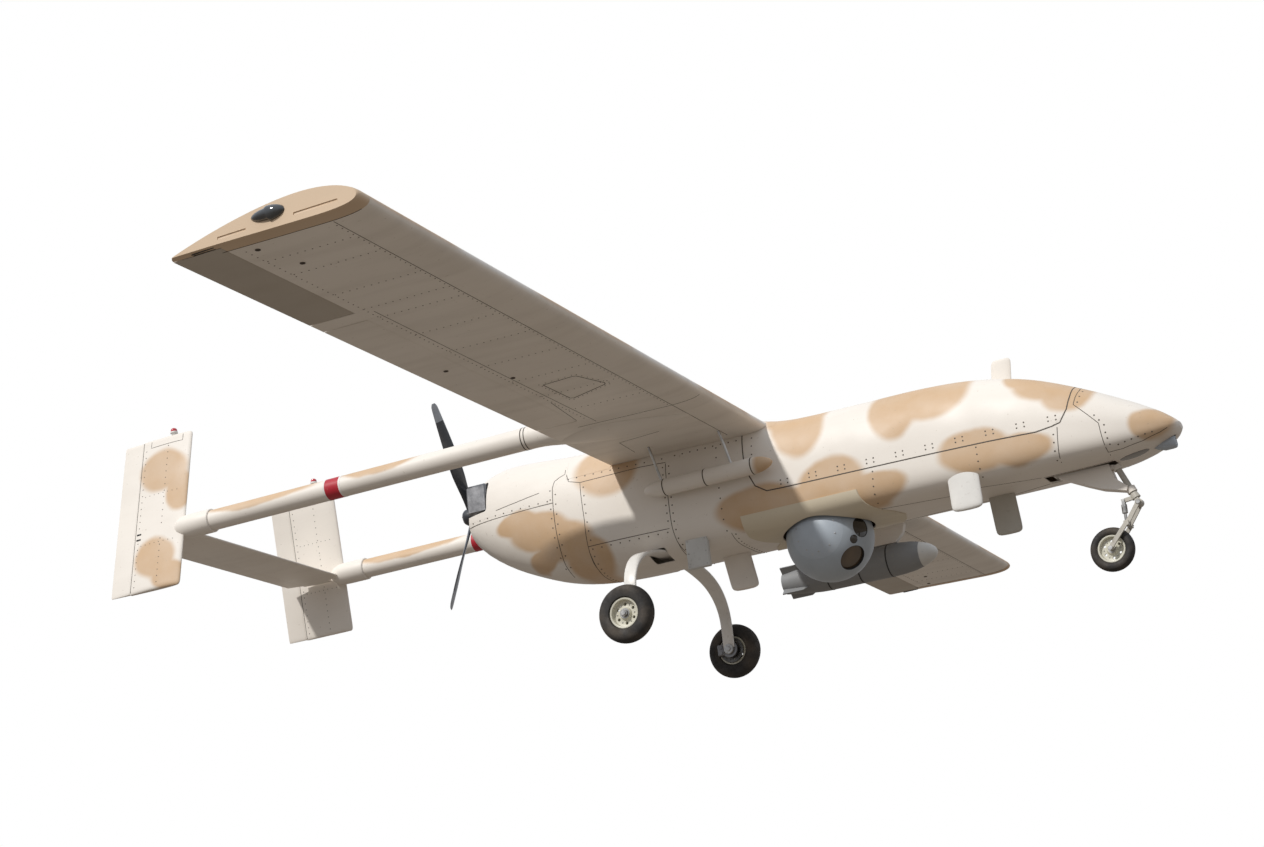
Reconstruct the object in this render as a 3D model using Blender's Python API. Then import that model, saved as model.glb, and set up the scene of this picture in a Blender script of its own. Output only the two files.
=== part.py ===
"""Twin-boom pusher reconnaissance drone with fixed tricycle gear, sensor turret and one wing store.

Units are metres. +X points forward to the nose, +Y to port (left), +Z up.
The origin lies on the ground, at the middle of the length and on the plane of symmetry.
Pieces that face each other keep a gap of GAP.
"""

import math

import bmesh
import bpy
from mathutils import Matrix, Vector

# ---------------------------------------------------------------- driving dimensions
GAP = 0.0005                 # clearance between pieces that touch
SKIN = 0.004                 # composite skin thickness

HALF_SPAN = 4.25             # wing half span to the end face of the tip cap
WING_LE_X = 0.880
WING_CHORD = 0.925
WING_LE_Z = 1.150
WING_TE_Z = 1.122
WING_THICKNESS = 0.145       # share of the chord
WING_CAMBER = 0.04
CENTRE_HALF = 1.03           # half width of the wing centre section
TIP_Y = 4.17                 # inner face of the tip cap
HINGE_X = 0.180              # flap and aileron hinge axis
COVE_GAP = 0.0025            # radial clearance between a control surface's nose and its cove
AILERON_Y = (3.235, 4.215)
FLAP_Y = (1.13, 3.12)

BOOM_Y = 0.817
BOOM_Z = 1.205
BOOM_R = 0.060
BOOM_END_X = -2.52

FIN_LE_X = -2.543            # leading edge at the middle of the fin's height
FIN_SWEEP = 0.0254           # how much further forward the top is than the bottom
FIN_CHORD = 0.492
FIN_TOP = (0.736, 1.815)     # (distance from the plane of symmetry, height)
FIN_BOTTOM = (0.906, 0.850)
RUDDER_SHARE = 0.735         # rudder hinge, share of the fin chord

STAB_LE_X = -2.550
STAB_CHORD = 0.404
STAB_Z = 1.190
ELEVATOR_SHARE = 0.72
ELEVATOR_HALF = 0.785

PROP_X = -1.100
SHAFT_Z = 1.110
PROP_R = 0.710

TURRET_X = 1.087
TURRET_Z = 0.502
TURRET_R = 0.239

MAIN_X = 0.156
MAIN_Y = 0.701
MAIN_R = 0.157
MAIN_WIDTH = 0.094
NOSE_WHEEL_X = 2.592
NOSE_R = 0.115
NOSE_WIDTH = 0.068

KNEE = Vector((2.769, 0, 0.325))          # nose fork pivot
LEG_TOP = Vector((2.690, 0, 0.530))       # upper end of the nose leg
SHOCK_TOP = Vector((2.690, 0, 0.352))     # upper pin of the shock absorber
SHOCK_PIN = Vector((2.686, 0, 0.236))     # lower pin of the shock absorber, on the fork

STORE_Y = 2.30
STORE_Z = 0.885
STORE_R = 0.105

# Fuselage lines: (x, value) pairs joined by a smooth curve
CROWN = ((-1.16, 1.17), (-1.0, 1.268), (-0.9, 1.312), (-0.78, 1.33), (-0.6, 1.32), (-0.4, 1.3),
         (-0.1, 1.288), (0.3, 1.283), (0.55, 1.272), (0.75, 1.24), (0.9, 1.2), (1.05, 1.182),
         (1.4, 1.178), (1.77, 1.176), (2.05, 1.152), (2.32, 1.09), (2.57, 0.985), (2.82, 0.855),
         (2.97, 0.762), (3.03, 0.712), (3.047, 0.695))
KEEL = ((-1.16, 1.05), (-1.04, 0.885), (-0.88, 0.757), (-0.69, 0.657), (-0.5, 0.583), (-0.32, 0.546),
        (-0.1, 0.534), (0.2, 0.537), (0.8, 0.542), (1.5, 0.545), (2.4, 0.547), (2.65, 0.552),
        (2.8, 0.566), (2.92, 0.592), (3.0, 0.622), (3.035, 0.648), (3.047, 0.665))
HALF_WIDTH = ((-1.16, 0.07), (-1.04, 0.145), (-0.9, 0.2), (-0.69, 0.25), (-0.45, 0.285), (-0.1, 0.3),
              (0.5, 0.3), (2.0, 0.3), (2.4, 0.288), (2.65, 0.258), (2.85, 0.205), (2.95, 0.158),
              (3.02, 0.1), (3.047, 0.05))
WIDEST_Z = ((-1.16, 1.11), (-0.9, 1.02), (-0.4, 0.9), (0.3, 0.82), (1.2, 0.79), (2.4, 0.75),
            (2.8, 0.685), (3.0, 0.67), (3.047, 0.678))
TOP_POWER = ((-1.16, 2.0), (-0.4, 2.4), (0.6, 2.7), (2.4, 2.5), (3.047, 2.1))
BELLY_POWER = ((-1.16, 2.0), (-0.5, 2.2), (0.1, 3.0), (0.9, 4.0), (2.4, 4.0), (2.9, 3.0),
               (3.047, 2.2))
STATIONS = (-1.16, -1.1, -1.04, -0.97, -0.88, -0.78, -0.62, -0.42, -0.1, 0.3, 0.6, 0.8, 1.0, 1.4,
            1.8, 2.1, 2.35, 2.57, 2.72, 2.84, 2.93, 2.99, 3.025, 3.047)
RING = 28                    # points around the fuselage


# ---------------------------------------------------------------- scene and materials
def clear_scene():
    for obj in list(bpy.data.objects):
        bpy.data.objects.remove(obj, do_unlink=True)


def paint(name, colour, roughness=0.5, metallic=0.0):
    material = bpy.data.materials.new(name)
    material.use_nodes = True
    shader = material.node_tree.nodes["Principled BSDF"]
    shader.inputs["Base Color"].default_value = (*colour, 1.0)
    shader.inputs["Roughness"].default_value = roughness
    shader.inputs["Metallic"].default_value = metallic
    material.diffuse_color = (*colour, 1.0)
    return material


# ---------------------------------------------------------------- mesh helpers
def finish(name, mesh, material, pivot=None, flat=False):
    """Names the mesh's object, gives it its own material and puts its origin on the pivot."""
    obj = bpy.data.objects.new(name, mesh)
    bpy.context.collection.objects.link(obj)
    mesh.name = name
    mesh.materials.clear()
    own = material.copy()
    own.name = name
    mesh.materials.append(own)
    if pivot is not None:
        mesh.transform(Matrix.Translation(-Vector(pivot)))
        obj.location = pivot
    if not flat:
        mesh.shade_smooth()
        mesh.set_sharp_from_angle(angle=math.radians(35))
    return obj


def to_mesh(bm):
    bmesh.ops.recalc_face_normals(bm, faces=bm.faces)
    mesh = bpy.data.meshes.new("solid")
    bm.to_mesh(mesh)
    bm.free()
    return mesh


def loft(rings, closed_loop=False):
    """Joins equal rings of points by quads. The ends are capped unless the rings form a loop."""
    bm = bmesh.new()
    rows = [[bm.verts.new(p) for p in ring] for ring in rings]
    count = len(rows[0])
    pairs = list(zip(rows, rows[1:]))
    if closed_loop:
        pairs.append((rows[-1], rows[0]))
    for a, b in pairs:
        for i in range(count):
            j = (i + 1) % count
            bm.faces.new((a[i], a[j], b[j], b[i]))
    if not closed_loop:
        bm.faces.new(rows[0])
        bm.faces.new(rows[-1])
    return to_mesh(bm)


def box(low, high, bevel=0.0):
    bm = bmesh.new()
    bmesh.ops.create_cube(bm, size=1.0)
    centre = [(a + b) / 2 for a, b in zip(low, high)]
    size = [b - a for a, b in zip(low, high)]
    bmesh.ops.scale(bm, vec=size, verts=bm.verts)
    bmesh.ops.translate(bm, vec=centre, verts=bm.verts)
    if bevel:
        bmesh.ops.bevel(bm, geom=bm.edges[:], offset=bevel, segments=1, affect="EDGES")
    return to_mesh(bm)


def prism(outline, low, high, axis="y"):
    """Extrudes an outline of (a, b) points: (x, z) along y, (x, y) along z or (y, z) along x."""
    place = {"y": lambda a, b, t: (a, t, b), "z": lambda a, b, t: (a, b, t),
             "x": lambda a, b, t: (t, a, b)}[axis]
    return loft([[place(a, b, t) for a, b in outline] for t in (low, high)])


def turned(profile, origin, axis, segments=24, ring=False):
    """Turns (distance along the axis, radius) points about the axis. A ring profile is a closed loop."""
    axis = Vector(axis).normalized()
    side = Vector((0, 0, 1)) if abs(axis.z) < 0.9 else Vector((1, 0, 0))
    side = (side - axis * side.dot(axis)).normalized()
    other = axis.cross(side)
    rings = []
    for k in range(segments):
        angle = 2 * math.pi * k / segments
        out = side * math.cos(angle) + other * math.sin(angle)
        rings.append([Vector(origin) + axis * t + out * r for t, r in profile])
    bm = bmesh.new()
    rows = [[bm.verts.new(p) for p in r] for r in rings]
    count = len(profile)
    last = count if ring else count - 1
    for k in range(segments):
        a, b = rows[k], rows[(k + 1) % segments]
        for i in range(last):
            j = (i + 1) % count
            bm.faces.new((a[i], a[j], b[j], b[i]))
    if not ring:
        bm.faces.new([row[0] for row in rows])
        bm.faces.new([row[-1] for row in rows])
    return to_mesh(bm)


def rod(start, end, radius, segments=12):
    start, end = Vector(start), Vector(end)
    return turned([(0, radius), ((end - start).length, radius)], start, end - start, segments)


def combine(base, others, operation):
    """Applies Boolean modifiers to a copy of the base mesh and returns the result."""
    target = bpy.data.objects.new("target", base.copy())
    bpy.context.collection.objects.link(target)
    helpers = []
    for other in others:
        helper = bpy.data.objects.new("cutter", other)
        bpy.context.collection.objects.link(helper)
        helper.hide_render = True
        helper.display_type = "WIRE"
        helpers.append(helper)
        modifier = target.modifiers.new("boolean", "BOOLEAN")
        modifier.operation = operation
        modifier.solver = "EXACT"
        modifier.object = helper
    bpy.context.view_layer.update()
    graph = bpy.context.evaluated_depsgraph_get()
    mesh = bpy.data.meshes.new_from_object(target.evaluated_get(graph))
    for obj in [target] + helpers:
        bpy.data.objects.remove(obj, do_unlink=True)
    bm = bmesh.new()
    bm.from_mesh(mesh)
    bmesh.ops.recalc_face_normals(bm, faces=bm.faces)
    bm.to_mesh(mesh)
    bm.free()
    return mesh


def cut(base, *others):
    return combine(base, others, "DIFFERENCE")


def join(base, *others):
    return combine(base, others, "UNION")


def keep(base, *others):
    return combine(base, others, "INTERSECT")


def mirrored(mesh):
    """The same solid on the other side of the plane of symmetry."""
    copy = mesh.copy()
    copy.transform(Matrix.Scale(-1, 4, (0, 1, 0)))
    copy.flip_normals()
    return copy


def both_sides(name, port_mesh, material, pivot=None):
    """Makes NAME_left from a port-side mesh and NAME_right from its mirror image."""
    finish(name + "_left", port_mesh.copy(), material, pivot)
    other = None if pivot is None else (pivot[0], -pivot[1], pivot[2])
    finish(name + "_right", mirrored(port_mesh), material, other)


# ---------------------------------------------------------------- curves
def along(points, x):
    """Smooth curve through (x, value) points, flat beyond its ends."""
    if x <= points[0][0]:
        return points[0][1]
    if x >= points[-1][0]:
        return points[-1][1]
    i = max(k for k in range(len(points) - 1) if points[k][0] <= x)

    def slope(k):
        a, b = max(k - 1, 0), min(k + 1, len(points) - 1)
        return (points[b][1] - points[a][1]) / (points[b][0] - points[a][0])

    (x0, y0), (x1, y1) = points[i], points[i + 1]
    span = x1 - x0
    t = (x - x0) / span
    h1 = 2 * t ** 3 - 3 * t ** 2 + 1
    return (h1 * y0 + (1 - h1) * y1 + (t ** 3 - 2 * t ** 2 + t) * span * slope(i)
            + (t ** 3 - t ** 2) * span * slope(i + 1))


def fuselage_ring(x, grow=0.0):
    """Cross-section at x: two half super-ellipses that meet at the widest height."""
    width = along(HALF_WIDTH, x) + grow
    middle = along(WIDEST_Z, x)
    points = []
    for k in range(RING):
        angle = 2 * math.pi * (k + 0.5) / RING
        c, s = math.cos(angle), math.sin(angle)
        power = along(TOP_POWER if s > 0 else BELLY_POWER, x)
        height = (along(CROWN, x) - middle if s > 0 else middle - along(KEEL, x)) + grow
        y = width * math.copysign(abs(c) ** (2 / power), c)
        z = middle + height * math.copysign(abs(s) ** (2 / power), s)
        points.append(Vector((x, y, z)))
    return points


def fuselage_body(grow=0.0, start=None, end=None):
    """The fuselage's outer form, or the form grown or shrunk by an offset."""
    xs = [x for x in STATIONS if (start is None or x > start) and (end is None or x < end)]
    if start is not None:
        xs.insert(0, start)
    if end is not None:
        xs.append(end)
    return loft([fuselage_ring(x, grow) for x in xs])


def naca(share, camber, thickness):
    """Upper and lower surface of a four-digit aerofoil at a share of the chord, in chords."""
    half = 5 * thickness * (0.2969 * math.sqrt(share) - 0.126 * share - 0.3516 * share ** 2
                            + 0.2843 * share ** 3 - 0.1015 * share ** 4)
    if share < 0.4:
        line = camber / 0.16 * (0.8 * share - share ** 2)
    else:
        line = camber / 0.36 * (0.2 + 0.8 * share - share ** 2)
    return line + half, line - half


def wing_z(x):
    """Heights of the wing's upper and lower surface at x."""
    share = min(max((WING_LE_X - x) / WING_CHORD, 0.0), 1.0)
    base = WING_LE_Z + (WING_TE_Z - WING_LE_Z) * share
    upper, lower = naca(share, WING_CAMBER, WING_THICKNESS)
    return base + upper * WING_CHORD, base + lower * WING_CHORD


def wing_outline(points=11, first=0.0, last=1.0, grow=0.0):
    """Wing section as (x, z) points between two shares of the chord, nose first along the top."""
    shares = [first + (last - first) * (1 - math.cos(math.pi * k / (points - 1))) / 2
              for k in range(points)]
    xs = [WING_LE_X - WING_CHORD * s for s in shares]
    top = [(x, wing_z(x)[0] + grow) for x in xs]
    bottom = [(x, wing_z(x)[1] - grow) for x in xs]
    top[0] = (top[0][0] + grow, (top[0][1] + bottom[0][1]) / 2)
    if first == 0.0:
        bottom = bottom[1:]
    if grow:
        top[-1] = (top[-1][0] - grow, top[-1][1])
        bottom[-1] = (bottom[-1][0] - grow, bottom[-1][1])
    return top + bottom[::-1]


def control_outline(points=5):
    """Flap and aileron section: round nose about the hinge, then straight to the trailing edge."""
    upper, lower = wing_z(HINGE_X)
    middle, radius = (upper + lower) / 2, (upper - lower) / 2
    nose = []
    for k in range(7):
        angle = math.pi / 2 - math.pi * k / 6
        nose.append((HINGE_X + radius * math.cos(angle), middle + radius * math.sin(angle)))
    end = WING_LE_X - WING_CHORD
    xs = [HINGE_X + (end - HINGE_X) * k / points for k in range(1, points + 1)]
    bottom = [(x, wing_z(x)[1]) for x in xs]
    top = [(x, wing_z(x)[0]) for x in reversed(xs)]
    return nose + bottom + top


# ---------------------------------------------------------------- fuselage
NOSE_SEAM = ((2.605, 1.6), (2.605, 0.93), (2.58, 0.84), (2.69, 0.716), (2.70, 0.5), (2.70, 0.2),
             (4.0, 0.2), (4.0, 1.6))
COVER_EDGE = ((0.766, 1.6), (0.766, 0.86), (0.785, 0.8), (0.84, 0.765), (0.95, 0.758), (2.36, 0.735),
              (2.46, 0.745), (2.53, 0.79), (2.565, 0.88), (2.58, 1.0), (2.58, 1.6))
COWL_FRONT = ((-0.335, 1.6), (-0.335, 1.125), (-0.385, 1.105), (-0.42, 1.065), (-0.42, 0.2),
              (-2.0, 0.2), (-2.0, 1.6))
COWL_END = ((-0.975, 1.6), (-0.985, 1.33), (-1.065, 1.0), (-1.065, 0.2), (-2.0, 0.2), (-2.0, 1.6))
SPLIT = ((-0.42, 0.985), (-1.3, 1.04))
FAIRING_FRONT_X = 0.93
FAIRING_Z = 1.105
SHELF_Z = 1.135              # lower edge of the wing fairing ahead of the leading edge


def grown(outline, amount):
    """An outline moved outward by an amount, with mitred corners."""
    area = sum(a[0] * b[1] - b[0] * a[1] for a, b in zip(outline, outline[1:] + outline[:1]))
    sign = 1.0 if area > 0 else -1.0
    result = []
    count = len(outline)
    for i, point in enumerate(outline):
        before = Vector(point) - Vector(outline[i - 1])
        after = Vector(outline[(i + 1) % count]) - Vector(point)
        n1 = Vector((before.y, -before.x)).normalized() * sign
        n2 = Vector((after.y, -after.x)).normalized() * sign
        result.append(tuple(Vector(point) + (n1 + n2) * (amount / (1 + n1.dot(n2)))))
    return result


def side_prism(outline, grow=0.0):
    outline = list(outline)
    return prism(grown(outline, grow) if grow else outline, -1.0, 1.0)


def saddle_outline(grow, surface):
    """Region above the wing saddle. surface 1 follows the wing's underside, 0 its upper side."""
    shares = [(1 - math.cos(math.pi * k / 10)) / 2 for k in range(10, -1, -1)]
    xs = [WING_LE_X - WING_CHORD * s for s in shares]
    sign = 1 if surface == 0 else -1
    arch = [(x, wing_z(x)[surface] + sign * GAP) for x in xs]
    return ([(-0.335 - grow, 1.6), (-0.335 - grow, FAIRING_Z - grow), (-0.06, FAIRING_Z - grow)] + arch
            + [(WING_LE_X + 0.006, SHELF_Z - grow), (FAIRING_FRONT_X + grow, SHELF_Z - grow),
               (FAIRING_FRONT_X + grow, 1.6)])


def make_fuselage(sand, turret_paint):
    outer = fuselage_body()
    inner = fuselage_body(-SKIN, start=-1.159, end=3.02)
    opened = box((-1.3, -0.5, 0.5), (-1.13, 0.5, 1.5))
    skin = cut(outer, opened, inner)

    split_top = [SPLIT[0], SPLIT[1], (-1.3, 1.6), (0.0, 1.6), (0.0, SPLIT[0][1])]
    split_low = [SPLIT[0], SPLIT[1], (-1.3, 0.2), (0.0, 0.2), (0.0, SPLIT[0][1])]
    notch = box((-1.2, -0.4, 1.06), (-0.90, -0.04, 1.25))
    cowl = cut(keep(skin, side_prism(COWL_FRONT)), side_prism(COWL_END))
    finish("engine_cowl_upper", cut(keep(cowl, side_prism(split_top)), notch), sand)
    finish("engine_cowl_lower", cut(keep(cowl, side_prism(grown(split_low, -GAP))), notch), sand)

    nose = keep(skin, side_prism(NOSE_SEAM))
    camera = turned([(-0.075, 0.004), (-0.06, 0.018), (-0.02, 0.033), (0.02, 0.034), (0.042, 0.028),
                     (0.042, 0.02), (0.034, 0.02)], (2.968, 0, 0.597), (1, 0, 0.04), 16)
    socket = turned([(-0.08, 0.0045), (-0.06, 0.0186), (-0.02, 0.0336), (0.02, 0.0346), (0.08, 0.0346)],
                    (2.968, 0, 0.597), (1, 0, 0.04), 16)
    finish("nose_cone", cut(nose, socket), sand)
    finish("nose_camera", camera, turret_paint)

    saddle = side_prism(saddle_outline(GAP, 1))
    cover = keep(cut(skin, saddle), side_prism(COVER_EDGE))
    finish("payload_bay_cover", cover, sand)
    fairing = keep(skin, side_prism(saddle_outline(-GAP, 0)))
    finish("wing_fairing", fairing, sand)

    shell = cut(skin, side_prism(COWL_FRONT, GAP), side_prism(NOSE_SEAM, GAP),
                side_prism(COVER_EDGE, GAP), saddle)
    turret_hole = turned([(0.3, 0.252), (0.73, 0.252)], (TURRET_X, 0, 0), (0, 0, 1), 32)
    spring_slot = [box((0.10, side * 0.11 - 0.11, 0.45), (0.212, side * 0.11 + 0.11, 0.596))
                   for side in (-2, 2)]
    leg_slot = box((2.32, -0.06, 0.4), (2.698, 0.06, 0.62))
    shell = cut(shell, turret_hole, *spring_slot)
    shell = cut(shell, leg_slot)
    side_box = box((0.345, -0.262, 0.435), (0.475, -0.228, 0.606), 0.003)
    finish("fuselage_shell", join(shell, side_box), sand)

    deck_form = fuselage_body(-SKIN - GAP)
    finish("payload_deck", keep(deck_form, box((0.62, -1, 0.776), (2.5, 1, 0.784))), turret_paint)


def make_turret_fairing(khaki):
    """Riveted doubler that wraps the belly around the turret opening."""
    half = [(0.80, 0.0), (0.745, 0.08), (0.70, 0.20), (0.70, 0.32), (1.36, 0.32), (1.44, 0.20),
            (1.50, 0.10), (1.53, 0.0)]
    outline = half + [(x, -y) for x, y in half[-2:0:-1]]
    outer = fuselage_body(0.0045, start=0.5, end=1.7)
    inner = fuselage_body(GAP, start=0.4, end=1.75)
    region = prism(outline, 0.4, 0.652, "z")
    hole = turned([(0.3, 0.2525), (0.72, 0.2525)], (TURRET_X, 0, 0), (0, 0, 1), 32)
    plate = keep(cut(outer, inner), region)
    finish("turret_fairing", cut(plate, hole), khaki)


def make_bay_contents(tank_white, box_grey, battery_black):
    """Pieces that the closed fuselage holds."""
    tank = keep(fuselage_body(-0.014), box((-0.33, -1, 0.62), (0.56, 1, 0.86)))
    finish("fuel_tank", tank, tank_white)
    finish("flight_computer", box((1.55, -0.17, 0.7845), (1.90, 0.17, 0.94), 0.008), box_grey)
    finish("battery_pack", box((2.05, -0.14, 0.7845), (2.38, 0.14, 0.93), 0.012), battery_black)


# ---------------------------------------------------------------- wing
def span_prism(outline, low, high, grow=0.0):
    return prism(grown(list(outline), grow) if grow else list(outline), low, high)


def make_wing(sand, under, lamp):
    section = wing_outline()
    hollow = wing_outline(points=8, first=0.05, last=0.66, grow=-SKIN)
    centre = cut(span_prism(section, -CENTRE_HALF, CENTRE_HALF), span_prism(hollow, -1.2, 1.2))
    spar = rod((0.56, -1.75, 1.176), (0.56, 1.75, 1.176), 0.034, 16)
    rib = wing_outline(points=4, first=0.25, last=0.45, grow=-SKIN / 2)
    ribs = [span_prism(rib, y - 0.004, y + 0.004) for y in (-1.0, 1.0)]
    finish("wing_centre", join(centre, spar, *ribs), sand)

    panel = span_prism(section, CENTRE_HALF + GAP, TIP_Y)
    upper, lower = wing_z(HINGE_X)
    hinge_z = (upper + lower) / 2
    cove = (upper - lower) / 2 + COVE_GAP

    def bay(low, high):
        """Space of a control surface: open at the back, with a round front about the hinge."""
        return join(box((-0.2, low, 0.9), (HINGE_X, high, 1.4)),
                    rod((HINGE_X, low, hinge_z), (HINGE_X, high, hinge_z), cove, 24))

    panel = cut(cut(panel, span_prism(hollow, 0.9, 3.9)), bay(FLAP_Y[0] - 0.005, FLAP_Y[1] + 0.005))
    both_sides("wing_panel", cut(panel, bay(AILERON_Y[0] - 0.005, 4.3)), sand)

    control = control_outline()
    aileron = span_prism(control, *AILERON_Y)
    flap = span_prism(control, *FLAP_Y)
    both_sides("aileron", aileron, under, (HINGE_X, sum(AILERON_Y) / 2, hinge_z))
    both_sides("flap", flap, sand, (HINGE_X, sum(FLAP_Y) / 2, hinge_z))

    rings = []
    middle = ((HINGE_X + WING_LE_X) / 2, sum(wing_z(0.5)) / 2)
    for y, share in ((TIP_Y + GAP, 1.0), (4.215, 1.0), (4.238, 0.975), (HALF_SPAN, 0.9)):
        narrow = 1 - (1 - share) * 0.35
        rings.append([(middle[0] + (x - middle[0]) * narrow, y, middle[1] + (z - middle[1]) * share)
                      for x, z in section])
    tip = loft(rings)
    tip = cut(tip, bay(4.0, AILERON_Y[1] + 0.005))
    lamp_ring = [(0.45 + 0.08 * math.cos(a),
                  1.185 + 0.034 * math.sin(a) * (1.0 if math.cos(a) > 0 else 0.75))
                 for a in [2 * math.pi * k / 16 for k in range(16)]]
    steps = ((-0.012, 1.0), (0.006, 1.0), (0.02, 0.71), (0.027, 0.3))
    lens = loft([[(0.455 + (x - 0.455) * size, HALF_SPAN + out, 1.185 + (z - 1.185) * size)
                  for x, z in lamp_ring] for out, size in steps])
    seat = span_prism(grown(lamp_ring, GAP), HALF_SPAN - 0.0125, 4.5)
    both_sides("wing_tip", cut(tip, seat), sand)
    both_sides("nav_light", lens, lamp)


# ---------------------------------------------------------------- booms and tail
def make_booms(sand):
    """Tail booms whose front end flattens into a saddle around the wing's trailing edge."""
    sections = ((BOOM_END_X, 0, BOOM_Z, BOOM_R, BOOM_R), (-1.6, 0, BOOM_Z, BOOM_R, BOOM_R),
                (-0.275, 0, BOOM_Z, 0.063, 0.063), (-0.16, 0.007, 1.200, 0.068, 0.064),
                (-0.045, 0.02, 1.180, 0.098, 0.062), (0.08, 0.03, 1.152, 0.140, 0.049),
                (0.28, 0.022, 1.122, 0.150, 0.028), (0.5, 0.01, 1.114, 0.105, 0.020),
                (0.70, 0.0, 1.112, 0.03, 0.010))
    rings = []
    for x, out, z, wide, high in sections:
        rings.append([(x, BOOM_Y + out + wide * math.cos(a), z + high * math.sin(a))
                      for a in [2 * math.pi * k / 16 for k in range(16)]])
    tube = loft(rings)
    bore = rod((BOOM_END_X - 0.1, BOOM_Y, BOOM_Z), (-0.30, BOOM_Y, BOOM_Z), BOOM_R - 0.004, 16)
    wing = span_prism(wing_outline(grow=GAP), 0.5, 1.3)
    boom = cut(tube, wing)
    both_sides("tail_boom", cut(boom, bore), sand)


def fin_outline(grow=0.0):
    """Half-symmetrical fin section as (x, offset) points, from the leading edge to the hinge seam."""
    shares = [0.0, 0.012, 0.05, 0.12, 0.25, 0.45, 0.60, RUDDER_SHARE - 0.004]
    xs = [FIN_LE_X - FIN_CHORD * s for s in shares]
    offsets = [naca(s, 0.0, 0.085)[0] * FIN_CHORD + grow for s in shares]
    offsets[0] = 0.0
    xs[0] += grow
    left = list(zip(xs, offsets))
    return left + [(x, -o) for x, o in left[:0:-1]]


def rudder_outline(start, chord, share, thickness, tail=0.0012):
    """Round-nosed control surface of a symmetrical section: (x, offset) points."""
    hinge = start - chord * share
    radius = naca(share, 0.0, thickness)[0] * chord
    points = []
    for k in range(7):
        angle = math.pi / 2 - math.pi * k / 6
        points.append((hinge + radius * math.cos(angle), radius * math.sin(angle)))
    end = start - chord
    return points + [(end, -tail), (end, tail)]


def fin_point(x, offset, height):
    """Places a fin section point at a share of the fin's height, on the canted port fin."""
    low, high = Vector(FIN_BOTTOM), Vector(FIN_TOP)
    centre = low + (high - low) * height
    rise = (high - low).normalized()
    across = Vector((rise.y, -rise.x))
    y, z = centre + across * offset
    return (x + FIN_SWEEP * (height - 0.5), y, z)


def fin_solid(outline, spans):
    """Lofts an outline along the fin. spans are (height share, size) pairs."""
    hinge_x = FIN_LE_X - FIN_CHORD * RUDDER_SHARE
    return loft([[fin_point(hinge_x + (x - hinge_x) * (1 - (1 - size) * 0.08), o * size, h)
                  for x, o in outline] for h, size in spans])


def make_tail(sand, red):
    body = [(0.0, 0.55), (0.012, 0.95), (0.03, 1.0), (0.975, 1.0), (0.99, 0.9), (1.0, 0.5)]
    hinge_x = FIN_LE_X - FIN_CHORD * RUDDER_SHARE
    cove = naca(RUDDER_SHARE, 0.0, 0.085)[0] * FIN_CHORD + COVE_GAP
    fin = cut(fin_solid(fin_outline(), body),
              rod(fin_point(hinge_x, 0, -0.05), fin_point(hinge_x, 0, 1.05), cove, 20))
    both_sides("fin", fin, sand)
    ends = [(0.004 + 0.992 * h, size) for h, size in body]
    rudder = fin_solid(rudder_outline(FIN_LE_X, FIN_CHORD, RUDDER_SHARE, 0.085), ends)
    both_sides("rudder", rudder, sand, fin_point(hinge_x, 0.0, 0.5))

    lamp = turned([(0.0025, 0.017), (0.012, 0.017), (0.013, 0.021), (0.034, 0.021), (0.044, 0.014),
                   (0.047, 0.004)], fin_point(-2.68, 0.0, 1.0), (0, 0, 1), 14)
    both_sides("fin_beacon", lamp, red)

    collar = turned([(0.0, 0.066), (0.004, 0.07), (0.14, 0.07), (0.19, 0.067), (0.23, 0.056),
                     (0.255, 0.036), (0.262, 0.012)], (-2.36, BOOM_Y, BOOM_Z), (-1, 0, 0), 20)
    bore = rod((-2.3, BOOM_Y, BOOM_Z), (BOOM_END_X - GAP, BOOM_Y, BOOM_Z), BOOM_R + GAP, 16)
    slot = fin_solid(fin_outline(grow=GAP), [(-0.01, 1.0), (1.01, 1.0)])
    both_sides("boom_collar", cut(cut(collar, bore), slot), sand)

    shares = [0.0, 0.012, 0.05, 0.12, 0.25, 0.45, ELEVATOR_SHARE - 0.004]
    top = [(STAB_LE_X - STAB_CHORD * s, STAB_Z + naca(s, 0.0, 0.09)[0] * STAB_CHORD) for s in shares]
    low = [(x, 2 * STAB_Z - z) for x, z in top[:0:-1]]
    stabiliser = prism(top + low, -0.84, 0.84)
    clear = turned([(-0.01, 0.0706), (0.2, 0.0706), (0.27, 0.06)], (-2.36, BOOM_Y, BOOM_Z), (-1, 0, 0), 20)
    sheared = prism([(0.826, 1.0), (0.78, 1.4), (1.1, 1.4), (1.1, 1.0)], -3.3, -2.3, "x")
    stab_hinge = STAB_LE_X - STAB_CHORD * ELEVATOR_SHARE
    cove = naca(ELEVATOR_SHARE, 0.0, 0.09)[0] * STAB_CHORD + COVE_GAP
    reach = ELEVATOR_HALF + 0.005
    stab_cove = rod((stab_hinge, -reach, STAB_Z), (stab_hinge, reach, STAB_Z), cove, 20)
    stabiliser = cut(stabiliser, sheared, mirrored(sheared), clear, mirrored(clear), stab_cove)
    finish("stabiliser", stabiliser, sand)
    outline = [(x, STAB_Z + o) for x, o in rudder_outline(STAB_LE_X, STAB_CHORD, ELEVATOR_SHARE, 0.09)]
    elevator = prism(outline, -ELEVATOR_HALF, ELEVATOR_HALF)
    finish("elevator", elevator, sand, (stab_hinge, 0, STAB_Z))


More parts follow.
